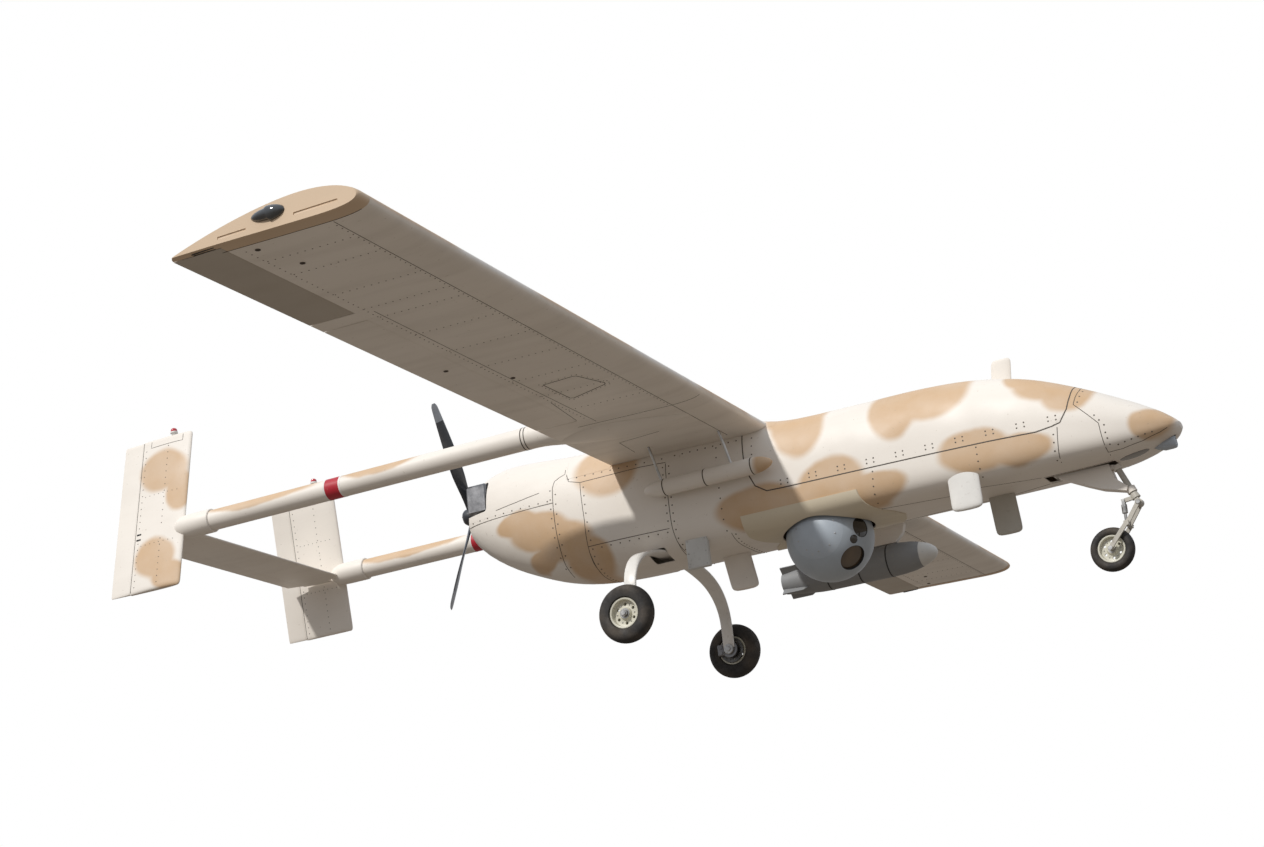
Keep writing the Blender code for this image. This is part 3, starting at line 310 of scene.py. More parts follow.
def fuselage_body(grow=0.0, start=-1.16, end=3.047, count=96, step=0.055):
    xs = steps(start, min(end, 2.45), step)
    if end > 2.45:
        xs += [x for x in steps(2.45, 2.9, 0.03)[1:] if x < end]
        xs += [x for x in steps(2.9, 3.047, 0.0147)[1:] if x < end - 0.002] + [end]
    return loft([fuselage_ring(x, grow, count) for x in xs])


def side_point(x, z, side=-1):
    """Point of the fuselage side at a height."""
    middle = along(WIDEST_Z, x)
    top = z > middle
    height = along(CROWN, x) - middle if top else middle - along(KEEL, x)
    power = along(TOP_POWER if top else BELLY_POWER, x)
    share = min(abs(z - middle) / height, 0.9995)
    return Vector((x, side * along(HALF_WIDTH, x) * (1 - share ** power) ** (1 / power), z))


def belly_point(x, y, lift=0.0):
    """Point of the belly at a distance from the plane of symmetry."""
    middle = along(WIDEST_Z, x)
    power = along(BELLY_POWER, x)
    share = min(abs(y) / along(HALF_WIDTH, x), 0.9995)
    rise = (middle - along(KEEL, x)) * (1 - share ** power) ** (1 / power) + lift
    return Vector((x, y, middle - rise))


def naca(share, camber, thickness):
    half = 5 * thickness * (0.2969 * math.sqrt(share) - 0.126 * share - 0.3516 * share ** 2
                            + 0.2843 * share ** 3 - 0.1015 * share ** 4)
    if share < 0.4:
        line = camber / 0.16 * (0.8 * share - share ** 2)
    else:
        line = camber / 0.36 * (0.2 + 0.8 * share - share ** 2)
    return line + half, line - half


def wing_z(x):
    """Heights of the wing's upper and lower surface at x."""
    share = min(max((WING_LE_X - x) / WING_CHORD, 0.0), 1.0)
    base = WING_LE_Z + (WING_TE_Z - WING_LE_Z) * share
    upper, lower = naca(share, WING_CAMBER, WING_THICKNESS)
    return base + upper * WING_CHORD, base + lower * WING_CHORD


def wing_outline(grow=0.0):
    """Closed section of the wing, closer spaced towards its two edges."""
    shares = [(1 - math.cos(math.pi * k / 33)) / 2 for k in range(34)]
    xs = [WING_LE_X - WING_CHORD * s for s in shares]
    top = [(x, wing_z(x)[0] + grow) for x in xs]
    bottom = [(x, wing_z(x)[1] - grow) for x in xs][1:]
    top[0] = (top[0][0] + grow, top[0][1])
    return top + bottom[::-1]


def control_outline():
    """Flap and aileron section: round nose about the hinge, then straight to the trailing edge."""
    upper, lower = wing_z(HINGE_X)
    middle, radius = (upper + lower) / 2, (upper - lower) / 2
    nose = [(HINGE_X + radius * math.sin(math.pi * k / 16), middle + radius * math.cos(math.pi * k / 16))
            for k in range(17)]
    end = WING_LE_X - WING_CHORD
    xs = [HINGE_X + (end - HINGE_X) * k / 12 for k in range(1, 13)]
    return nose + [(x, wing_z(x)[1]) for x in xs] + [(x, wing_z(x)[0]) for x in reversed(xs)]


def grown(outline, amount):
    """An outline moved outward by an amount, with mitred corners."""
    area = sum(a[0] * b[1] - b[0] * a[1] for a, b in zip(outline, outline[1:] + outline[:1]))
    sign = 1.0 if area > 0 else -1.0
    result = []
    for i, point in enumerate(outline):
        before = Vector(point) - Vector(outline[i - 1])
        after = Vector(outline[(i + 1) % len(outline)]) - Vector(point)
        n1 = Vector((before.y, -before.x)).normalized() * sign
        n2 = Vector((after.y, -after.x)).normalized() * sign
        result.append(tuple(Vector(point) + (n1 + n2) * (amount / (1 + n1.dot(n2)))))
    return result


def side_prism(outline, grow=0.0):
    outline = list(outline)
    return prism(grown(outline, grow) if grow else outline, -1.0, 1.0)


def saddle_outline(grow, surface):
    """Region above the wing saddle. surface 1 follows the wing's underside, 0 its upper side."""
    shares = [(1 - math.cos(math.pi * k / 33)) / 2 for k in range(33, -1, -1)]
    xs = [WING_LE_X - WING_CHORD * s for s in shares]
    sign = 1 if surface == 0 else -1
    arch = [(x, wing_z(x)[surface] + sign * GAP) for x in xs]
    return ([(-0.335 - grow, 1.6), (-0.335 - grow, FAIRING_Z - grow), (-0.06, FAIRING_Z - grow)] + arch
            + [(WING_LE_X + 0.006, SHELF_Z - grow), (FAIRING_FRONT_X + grow, SHELF_Z - grow),
               (FAIRING_FRONT_X + grow, 1.6)])


def fin_outline(grow=0.0):
    last = RUDDER_SHARE - 0.004
    shares = [last * (1 - math.cos(math.pi / 2 * k / 22)) for k in range(23)]
    xs = [FIN_LE_X - FIN_CHORD * s for s in shares]
    offsets = [naca(s, 0.0, FIN_THICKNESS)[0] * FIN_CHORD + grow for s in shares]
    offsets[0] = 0.0
    xs[0] += grow
    left = list(zip(xs, offsets))
    return left + [(x, -o) for x, o in left[:0:-1]]


def rudder_outline(start, chord, share, thickness):
    """Section of a rudder or elevator: round nose about the hinge, then straight to a thin edge."""
    hinge = start - chord * share
    radius = naca(share, 0.0, thickness)[0] * chord
    points = [(hinge + radius * math.sin(math.pi * k / 16), radius * math.cos(math.pi * k / 16))
              for k in range(17)]
    return points + [(start - chord, -HALF_EDGE), (start - chord, HALF_EDGE)]


def fin_point(x, offset, height):
    """Point on the canted port fin; offset is measured across it, outward."""
    low, high = Vector(FIN_BOTTOM), Vector(FIN_TOP)
    centre = low + (high - low) * height
    rise = (high - low).normalized()
    y, z = centre + Vector((rise.y, -rise.x)) * offset
    return Vector((x + FIN_SWEEP * (height - 0.5), y, z))


def fin_solid(outline, spans):
    hinge_x = FIN_LE_X - FIN_CHORD * RUDDER_SHARE
    return loft([[fin_point(hinge_x + (x - hinge_x) * (1 - (1 - size) * 0.08), o * size, h)
                  for x, o in outline]
                 for h, size in spans])


def facing(azimuth, elevation):
    a, e = math.radians(azimuth), math.radians(elevation)
    return Vector((math.cos(e) * math.cos(a), math.cos(e) * math.sin(a), math.sin(e)))


def sphere(radius, centre, segments=96, rings=56):
    bm = bmesh.new()
    bmesh.ops.create_uvsphere(bm, u_segments=segments, v_segments=rings, radius=radius)
    bmesh.ops.translate(bm, vec=centre, verts=bm.verts)
    return to_mesh(bm)


# ---------------------------------------------------------------- materials
# Width of a camouflage patch's soft edge and how far two patches flow together, as shares of their radii
PATCH_SOFTNESS = 0.16
PATCH_MERGE = 0.3


class Graph:
    """Adds nodes to a new material and links them."""

    def __init__(self, name):
        self.material = bpy.data.materials.new(name)
        self.material.use_nodes = True
        self.tree = self.material.node_tree
        self.shader = self.tree.nodes["Principled BSDF"]
        self.place = self.add("ShaderNodeTexCoord").outputs["Object"]

    def add(self, kind, inputs=None, **settings):
        node = self.tree.nodes.new(kind)
        for key, value in settings.items():
            setattr(node, key, value)
        for key, value in (inputs or {}).items():
            if isinstance(value, bpy.types.NodeSocket):
                self.tree.links.new(value, node.inputs[key])
            else:
                node.inputs[key].default_value = value
        return node

    def math(self, operation, a, b=0.0):
        return self.add("ShaderNodeMath", {0: a, 1: b}, operation=operation).outputs[0]

    def vector(self, operation, a, b=(0, 0, 0)):
        return self.add("ShaderNodeVectorMath", {0: a, 1: b}, operation=operation).outputs[0]

    def stretched(self, scale):
        return self.add("ShaderNodeMapping", {"Vector": self.place, "Scale": scale}).outputs[0]

    def noise(self, scale, detail=3.0, vector=None, colour=False):
        node = self.add("ShaderNodeTexNoise",
                        {"Vector": vector or self.place, "Scale": scale, "Detail": detail})
        return node.outputs["Color" if colour else "Fac"]

    def spread(self, value, low, high, start=0.3, end=0.7, smooth=False):
        node = self.add("ShaderNodeMapRange", {"Value": value, "From Min": start, "From Max": end,
                                               "To Min": low, "To Max": high},
                        interpolation_type="SMOOTHSTEP" if smooth else "LINEAR")
        return node.outputs[0]

    def mix(self, share, a, b, blend="MIX"):
        node = self.add("ShaderNodeMix", data_type="RGBA", blend_type=blend)
        sockets = {"Factor_Float": share, "A_Color": a, "B_Color": b}
        for socket in node.inputs:
            value = sockets.get(socket.identifier)
            if value is None:
                continue
            if isinstance(value, bpy.types.NodeSocket):
                self.tree.links.new(value, socket)
            elif isinstance(value, (int, float)):
                socket.default_value = value
            else:
                socket.default_value = (*value, 1.0)[:4]
        return next(o for o in node.outputs if o.identifier == "Result_Color")

    def tone(self, colour, factor):
        """Multiplies a colour by a value."""
        grey = self.add("ShaderNodeCombineColor", {0: factor, 1: factor, 2: factor}).outputs[0]
        return self.mix(1.0, colour, grey, "MULTIPLY")

    def bump(self, height, distance, strength=1.0, normal=None):
        inputs = {"Height": height, "Distance": distance, "Strength": strength}
        if normal is not None:
            inputs["Normal"] = normal
        return self.add("ShaderNodeBump", inputs).outputs[0]

    def blobs(self, places):
        """Soft-edged union of ellipsoids (centre, radii) with wavering outlines."""
        wide = self.vector("SUBTRACT", self.noise(2.6, 2.0, colour=True), (0.5, 0.5, 0.5))
        fine = self.vector("SUBTRACT", self.noise(9.0, 3.0, colour=True), (0.5, 0.5, 0.5))
        warped = self.vector("ADD", self.place, self.vector("MULTIPLY", wide, (0.07, 0.07, 0.07)))
        warped = self.vector("ADD", warped, self.vector("MULTIPLY", fine, (0.02, 0.02, 0.02)))
        mask = None
        for centre, radii in places:
            offset = self.vector("DIVIDE", self.vector("SUBTRACT", warped, centre), radii)
            length = self.add("ShaderNodeVectorMath", {0: offset}, operation="LENGTH").outputs["Value"]
            if mask is None:
                mask = length
            else:
                mask = self.add("ShaderNodeMath", {0: mask, 1: length, 2: PATCH_MERGE},
                                operation="SMOOTH_MIN").outputs[0]
        return self.spread(mask, 0.0, 1.0, 1.0 + PATCH_SOFTNESS, 1.0 - PATCH_SOFTNESS, True)

    def done(self, colour, roughness, normal, metallic=0.0, **constants):
        for name, value in (("Base Color", colour), ("Roughness", roughness), ("Normal", normal)):
            self.tree.links.new(value, self.shader.inputs[name])
        self.shader.inputs["Metallic"].default_value = metallic
        for name, value in constants.items():
            self.shader.inputs[name.replace("_", " ")].default_value = value
        return self.material


CREAM = (0.80, 0.745, 0.675)
# Inward lean of the fins, and |y| + lean * z at their middle plane
FIN_LEAN = 0.1762
FIN_PLANE = 1.056
TAN = (0.560, 0.375, 0.215)


def painted(name, base=CREAM, places=(), roughness=(0.44, 0.60), grime=0.10, limit=None, outer=False):
    """Sprayed camouflage on composite skin: uneven tone, dust, runs of grime and orange peel.

    The patches stay above the heights of limit, or on the outer faces of the canted fins.
    """
    g = Graph(name)
    colour = g.mix(g.noise(2.3, 4.0), base, [c * 0.95 for c in base])
    if places:
        mask = g.blobs(places)
        if limit:
            height = g.add("ShaderNodeSeparateXYZ", {0: g.place}).outputs["Z"]
            mask = g.math("MULTIPLY", mask, g.spread(height, 0.0, 1.0, limit[0], limit[1], True))
        if outer:
            parts = g.add("ShaderNodeSeparateXYZ", {0: g.place}).outputs
            lean = g.math("ADD", g.math("ABSOLUTE", parts["Y"]), g.math("MULTIPLY", parts["Z"], FIN_LEAN))
            mask = g.math("MULTIPLY", mask,
                          g.spread(lean, 0.0, 1.0, FIN_PLANE - 0.005, FIN_PLANE + 0.005, True))
        faded = [0.5 * (a + b) for a, b in zip(base, TAN)]
        worn = g.mix(g.spread(g.noise(6.0, 4.0), 0.0, 0.35), TAN, faded)
        colour = g.mix(mask, colour, worn)
    streaks = g.noise(5.0, 5.0, g.stretched((0.35, 2.2, 1.3)))
    colour = g.mix(g.spread(streaks, 0.0, grime, 0.45, 0.8), colour, (0.30, 0.25, 0.19))
    specks = g.noise(60.0, 2.0)
    colour = g.mix(g.spread(specks, 0.0, 0.35, 0.70, 0.76), colour, (0.33, 0.27, 0.20))
    colour = g.tone(colour, g.spread(g.noise(0.9, 3.0), 0.95, 1.04))
    rough = g.spread(g.noise(4.0, 5.0), roughness[0], roughness[1])
    peel = g.bump(g.noise(260.0, 2.0), 0.0006, 0.35)
    waves = g.bump(g.noise(3.2, 1.0), 0.012, 0.10, peel)
    return g.done(colour, rough, waves)


def metal(name, colour, roughness=(0.25, 0.42), grain=(40, 40, 400)):
    """Machined or cast metal with directional grain and dull oxidised areas."""
    g = Graph(name)
    lines = g.noise(1.0, 4.0, g.stretched(grain))
    tint = g.mix(g.spread(g.noise(14.0, 4.0), 0.0, 1.0), colour, [c * 0.6 for c in colour])
    tint = g.tone(tint, g.spread(lines, 0.88, 1.06))
    rough = g.spread(g.noise(25.0, 4.0), roughness[0], roughness[1])
    return g.done(tint, rough, g.bump(lines, 0.0004, 0.5), 1.0)


def coated(name, colour, roughness=(0.4, 0.55), wear=(0.4, 0.4, 0.4), coat=0.0):
    """Powder-coated or moulded part: fine grain, faint rubs and dust."""
    g = Graph(name)
    tint = g.mix(g.spread(g.noise(7.0, 4.0), 0.0, 0.7), colour, [c * 0.82 for c in colour])
    tint = g.mix(g.spread(g.noise(48.0, 3.0), 0.0, 0.5, 0.62, 0.78), tint, wear)
    rough = g.spread(g.noise(18.0, 4.0), roughness[0], roughness[1])
    normal = g.bump(g.noise(180.0, 3.0), 0.0006, 0.5)
    return g.done(tint, rough, normal, Coat_Weight=coat, Coat_Roughness=0.12)


def rubber(name):
    g = Graph(name)
    dust = g.spread(g.noise(9.0, 5.0), 0.0, 0.45, 0.42, 0.75)
    tint = g.mix(dust, (0.022, 0.020, 0.019), (0.16, 0.125, 0.09))
    tint = g.tone(tint, g.spread(g.noise(90.0, 2.0), 0.85, 1.1))
    rough = g.spread(g.noise(30.0, 3.0), 0.62, 0.86)
    return g.done(tint, rough, g.bump(g.noise(320.0, 3.0), 0.0007, 0.7))


def glassy(name, colour, roughness=0.05):
    """Dark optical glass or a tinted lens over something unlit."""
    g = Graph(name)
    tint = g.mix(g.spread(g.noise(11.0, 3.0), 0.0, 1.0), colour, [c * 0.55 for c in colour])
    rough = g.spread(g.noise(35.0, 4.0), roughness, roughness + 0.06)
    normal = g.bump(g.noise(8.0, 1.0), 0.001, 0.05)
    return g.done(tint, rough, normal, Coat_Weight=1.0, Coat_Roughness=0.03)


FUSELAGE_PATCHES = [
    ((1.07, 0, 1.08), (0.15, 9, 0.175)), ((1.05, 0, 1.19), (0.19, 9, 0.12)),
    ((0.80, 0, 0.69), (0.24, 9, 0.12)), ((1.24, 0, 0.74), (0.19, 9, 0.12)),
    ((1.46, 0, 0.65), (0.20, 9, 0.08)), ((1.05, 0, 0.65), (0.32, 9, 0.10)),
    ((1.62, 0, 1.04), (0.13, 9, 0.17)), ((1.84, 0, 1.08), (0.20, 9, 0.15)),
    ((1.78, 0, 1.17), (0.26, 9, 0.10)),
    ((2.04, 0, 0.70), (0.19, 9, 0.11)), ((2.28, 0, 0.66), (0.17, 9, 0.08)),
    ((2.55, 0, 0.93), (0.13, 9, 0.13)), ((2.42, 0, 1.02), (0.14, 9, 0.12)),
    ((2.33, 0, 1.09), (0.11, 9, 0.09)),
    ((2.93, 0, 0.685), (0.11, 9, 0.08)),
    ((-0.68, 0, 0.92), (0.15, 9, 0.07)), ((-0.54, 0, 0.84), (0.20, 9, 0.10)),
    ((-0.38, 0, 0.76), (0.19, 9, 0.11)), ((-0.26, 0, 0.64), (0.15, 9, 0.11)),
    ((-0.56, 0, 0.69), (0.11, 9, 0.05)), ((-0.08, 0, 1.12), (0.20, 9, 0.17)),
]
FIN_PATCHES = [
    ((-2.72, 0, 1.60), (0.17, 9, 0.13)), ((-2.60, 0, 1.45), (0.09, 9, 0.13)),
    ((-2.74, 0, 1.05), (0.14, 9, 0.13)), ((-2.64, 0, 0.92), (0.12, 9, 0.09)),
]
BOOM_PATCHES = [((-2.0, 0, 1.27), (0.40, 9, 0.060)), ((-1.2, 0, 1.27), (0.26, 9, 0.060))]
WING_PATCHES = [
    ((0.86, -3.9, 1.22), (0.36, 0.42, 0.5)), ((0.30, -3.1, 1.22), (0.30, 0.40, 0.5)),
    ((0.80, -2.3, 1.22), (0.34, 0.50, 0.5)), ((0.25, -1.5, 1.22), (0.28, 0.36, 0.5)),
    ((0.78, -0.75, 1.22), (0.30, 0.34, 0.5)), ((0.70, 0.8, 1.22), (0.32, 0.36, 0.5)),
    ((0.25, 1.6, 1.22), (0.30, 0.36, 0.5)), ((0.80, 2.4, 1.22), (0.34, 0.46, 0.5)),
    ((0.28, 3.2, 1.22), (0.30, 0.40, 0.5)), ((0.84, 3.95, 1.22), (0.36, 0.42, 0.5)),
]

PAINT = painted("fuselage_camouflage", places=FUSELAGE_PATCHES)
FIN_PAINT = painted("fin_camouflage", places=FIN_PATCHES, outer=True)
BOOM_PAINT = painted("boom_camouflage", places=BOOM_PATCHES)
TIP_PAINT = painted("tip_paint", (0.62, 0.46, 0.31))
WING_PAINT = painted("wing_camouflage", places=WING_PATCHES, limit=(1.135, 1.165), grime=0.18)
PLAIN = painted("plain_sand")
POD_PAINT = painted("pod_paint", places=[((0.98, -0.375, 0.888), (0.13, 0.3, 0.3))])
# The ailerons' darker grey is painted shade: their deflection turns them away from the light.
AILERON_SHADE_PAINT = painted("aileron_paint", (0.46, 0.41, 0.345), grime=0.15)
FAIRING_PAINT = painted("fairing_paint", (0.66, 0.58, 0.44), grime=0.22, roughness=(0.42, 0.6))
PLATE_PAINT = coated("grey_plate", (0.60, 0.60, 0.58), wear=(0.3, 0.28, 0.25))
TURRET_PAINT = coated("turret_paint", (0.40, 0.45, 0.50), (0.36, 0.5), wear=(0.45, 0.46, 0.47))
YOKE_PAINT = coated("yoke_paint", (0.43, 0.48, 0.535), (0.36, 0.5), wear=(0.5, 0.5, 0.5))
STORE_PAINT = coated("store_paint", (0.24, 0.245, 0.25), (0.5, 0.65), wear=(0.3, 0.29, 0.25))
STORE_TIP = coated("store_tip", (0.62, 0.60, 0.56), (0.4, 0.5))
RIM_PAINT = coated("rim_paint", (0.62, 0.60, 0.50), (0.35, 0.5), wear=(0.3, 0.26, 0.2))
# Brown-grey of the nose leg and fork; on the front belly antenna the same colour is painted shade.
LEG_PAINT_AND_ANTENNA_SHADE = coated("leg_paint_and_antenna_shade", (0.50, 0.47, 0.41), (0.4, 0.55), wear=(0.25, 0.22, 0.18))
BLADE_PAINT = coated("blade_paint", (0.030, 0.034, 0.042), (0.28, 0.42), wear=(0.12, 0.12, 0.12), coat=0.4)
BLADE_TIP = coated("blade_tip", (0.30, 0.32, 0.35), (0.3, 0.42), wear=(0.5, 0.5, 0.5))
RED_PAINT = coated("red_paint", (0.45, 0.015, 0.03), (0.35, 0.5), wear=(0.5, 0.2, 0.15))
WHITE_PAINT = coated("white_paint", (0.80, 0.78, 0.74), (0.35, 0.5), wear=(0.45, 0.4, 0.35))
# Black plastic parts; on the fins the same black stands for painted shade in the slots.
BLACK_PLASTIC_AND_SLOT_SHADE = coated("black_plastic_and_slot_shade", (0.022, 0.022, 0.022), (0.45, 0.6), wear=(0.08, 0.08, 0.08))
# Joint colour: the joints are real, and their dark colour is painted shade of the gaps at them.
SEAM_GAP_SHADE = coated("seam_gap_shade", (0.085, 0.070, 0.055), (0.6, 0.75), wear=(0.2, 0.17, 0.14))
RIVET_STEEL = coated("rivet_heads", (0.12, 0.10, 0.08), (0.4, 0.6), wear=(0.35, 0.3, 0.25))
STEEL = metal("bright_steel", (0.62, 0.61, 0.59))
CAST = metal("cast_alloy", (0.30, 0.30, 0.31), (0.35, 0.55), (90, 90, 90))
DARK_STEEL = metal("brake_steel", (0.16, 0.155, 0.15), (0.3, 0.5), (30, 200, 30))
RUBBER = rubber("tyre_rubber")
GLASS = glassy("optical_glass", (0.030, 0.026, 0.022))
AMBER_GLASS = glassy("coated_glass", (0.10, 0.065, 0.035))
LAMP = glassy("navigation_lens", (0.05, 0.055, 0.06))
RED_LENS = glassy("beacon_lens", (0.62, 0.008, 0.02), 0.1)


# ---------------------------------------------------------------- pieces
# Radii of the rivet heads
RIVET = 0.0046
FAIRING_RIVET = 0.0044
WING_RIVET = 0.0034
SMALL_RIVET = 0.0032


def show(name, mesh, material, body="airframe", nodes=(), slot=None, angle=35):
    """Adds a piece that rides on a body and may stand for CAD nodes."""
    obj = bpy.data.objects.new(name, mesh)
    bpy.context.scene.collection.objects.link(obj)
    mesh.name = name
    mesh.materials.clear()
    mesh.materials.append(material)
    mesh.shade_smooth()
    mesh.set_sharp_from_angle(angle=math.radians(angle))
    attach(obj, body)
    nodes = (nodes,) if isinstance(nodes, str) else tuple(nodes)
    if nodes:
        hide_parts(*nodes)
    slot or nodes[0]
    return obj


def show_both(name, port_mesh, material, body="airframe", node=None, slot=None):
    """Adds NAME_left and, mirrored, NAME_right; body, node and slot may hold a side in braces."""
    for side, mesh in (("left", port_mesh.copy()), ("right", mirrored(port_mesh))):
        words = {"side": side}
        show(f"{name}_{side}", mesh, material, body.format(**words),
             (node.format(**words),) if node else (), slot.format(**words) if slot else None)


def repaint(node, material, bevel=0.0):
    """Gives a carried-over CAD node a material and, if wanted, rounded edges."""
    obj = NODES[node]
    for item in obj.material_slots:
        item.material = material
    if bevel:
        modifier = obj.modifiers.new("edges", "BEVEL")
        modifier.width = bevel
        modifier.segments = 2
        modifier.limit_method = "ANGLE"
        modifier.angle_limit = math.radians(40)


def surface(point, a, b):
    """Point and outward normal of a surface function of two values."""
    here, eps = point(a, b), 0.004
    normal = (point(a + eps, b) - point(a - eps, b)).cross(point(a, b + eps) - point(a, b - eps))
    return here, normal.normalized()


def side_at(x, z, side=-1):
    """Point and outward normal on the fuselage side at a height."""
    here, normal = surface(lambda a, b: side_point(a, b, side), x, z)
    return here, normal if normal.y * side > 0 else -normal


def belly_at(x, y):
    """Point and outward normal on the belly."""
    here, normal = surface(lambda a, b: belly_point(a, b), x, y)
    return here, normal if normal.z < 0 else -normal


def wing_at(x, y, upper=False):
    """Point and outward normal on the underside or upper side of the wing."""
    rise = (wing_z(x + 0.004)[0 if upper else 1] - wing_z(x - 0.004)[0 if upper else 1]) / 0.008
    normal = Vector((-rise, 0, 1)).normalized() * (1 if upper else -1)
    return Vector((x, y, wing_z(x)[0 if upper else 1])), normal


def fin_at(x, height, side=-1, outer=True):
    """Point and normal on a fin or rudder face. height is the share of the fin's height."""
    share = min(max((FIN_LE_X - x) / FIN_CHORD, 0.001), 1.0)
    half = naca(share, 0.0, FIN_THICKNESS)[0] * FIN_CHORD
    sign = 1 if outer else -1
    here = fin_point(x, sign * half, height)
    normal = (fin_point(x, sign * (half + 1), height) - here).normalized()
    if side < 0:
        here.y, normal.y = -here.y, -normal.y
    return here, normal


def dense(points):
    """Adds points to a broken 2-D line, so that none are more than 20 mm apart."""
    result = [Vector(points[0])]
    for a, b in zip(points, points[1:]):
        a, b = Vector(a), Vector(b)
        count = max(1, math.ceil((b - a).length / 0.02))
        result += [a + (b - a) * k / count for k in range(1, count + 1)]
    return result


def ribbon(places, width=0.005, height=0.0008):
    """Low bead along a line of (point, normal) places, on a real panel joint; its colour is painted shade of
    the joint's gap.
    """
    rings = []
    for i, (here, normal) in enumerate(places):
        along_line = places[min(i + 1, len(places) - 1)][0] - places[max(i - 1, 0)][0]
        across = along_line.cross(normal).normalized() * (width / 2)
        rings.append([here - across - normal * 0.0012, here - across * 0.6 + normal * height,
                      here + across * 0.6 + normal * height, here + across - normal * 0.0012])
    return loft(rings)


def seam(at, points, width=0.005, height=0.0008, **extra):
    """Bead along a broken line on a surface, on a real panel joint, carrying the painted shade of its gap."""
    return ribbon([at(p.x, p.y, **extra) for p in dense(points)], width, height)


def dome(here, normal, radius, height=0.0016, sides=8):
    """Rivet or screw head on a surface."""
    side = normal.orthogonal().normalized()
    other = normal.cross(side)
    rings = []
    for share, rise in ((1.0, -0.0008), (0.96, height * 0.45), (0.55, height)):
        rings.append([here + normal * rise
                      + (side * math.cos(2 * math.pi * k / sides) + other * math.sin(2 * math.pi * k / sides))
                      * radius * share for k in range(sides)])
    return loft(rings)


def row(at, start, end, count, radius=RIVET, **extra):
    """Evenly spaced rivets between two 2-D points of a surface."""
    a, b = Vector(start), Vector(end)
    heads = []
    for k in range(count):
        p = a + (b - a) * (k / max(1, count - 1))
        heads.append(dome(*at(p.x, p.y, **extra), radius))
    return heads


def make_fuselage():
    """Skins of the shell, cowls, nose, bay cover and wing fairing, cut from one hollow body."""
    outer = fuselage_body()
    inner = fuselage_body(-SKIN, start=-1.159, end=3.02, count=40, step=0.11)
    opened = box((-1.3, -0.5, 0.5), (-1.13, 0.5, 1.5))
    skin = cut(outer, opened, inner)
    split_top = [SPLIT[0], SPLIT[1], (-1.3, 1.6), (0.0, 1.6), (0.0, SPLIT[0][1])]
    split_low = [SPLIT[0], SPLIT[1], (-1.3, 0.2), (0.0, 0.2), (0.0, SPLIT[0][1])]
    notch = box((-1.2, -0.4, 1.06), (-0.90, -0.04, 1.25), 0.02, 3)
    cowl = cut(keep(skin, side_prism(COWL_FRONT)), side_prism(COWL_END))
    show("cowl_upper_skin", cut(keep(cowl, side_prism(split_top)), notch.copy()), PAINT,
         nodes="engine_cowl_upper")
    show("cowl_lower_skin", cut(keep(cowl, side_prism(grown(split_low, -GAP))), notch), PAINT,
         nodes="engine_cowl_lower")
    socket = turned([(-0.08, 0.0045), (-0.06, 0.0186), (-0.02, 0.0336), (0.02, 0.0346), (0.08, 0.0346)],
                    (2.968, 0, 0.597), (1, 0, 0.04))
    show("nose_skin", cut(keep(skin, side_prism(NOSE_SEAM)), socket), PAINT, nodes="nose_cone")
    saddle = side_prism(saddle_outline(GAP, 1))
    cover = keep(cut(skin, saddle.copy()), side_prism(COVER_EDGE))
    show("bay_cover_skin", cover, PAINT, nodes="payload_bay_cover")
    show("wing_fairing_skin", keep(skin, side_prism(saddle_outline(-GAP, 0))), PAINT, nodes="wing_fairing")
    shell = cut(skin, side_prism(COWL_FRONT, GAP), side_prism(NOSE_SEAM, GAP), side_prism(COVER_EDGE, GAP),
                saddle)
    hole = turned([(0.3, 0.252), (0.73, 0.252)], (TURRET_X, 0, 0), (0, 0, 1), 72)
    slots = [box((0.10, side * 0.11 - 0.11, 0.45), (0.212, side * 0.11 + 0.11, 0.596), 0.012, 3)
             for side in (-2, 2)]
    leg_slot = box((2.32, -0.06, 0.4), (2.698, 0.06, 0.62), 0.01)
    shell = cut(cut(shell, hole, *slots), leg_slot)
    show("fuselage_skin", shell, PAINT, nodes="fuselage_shell")


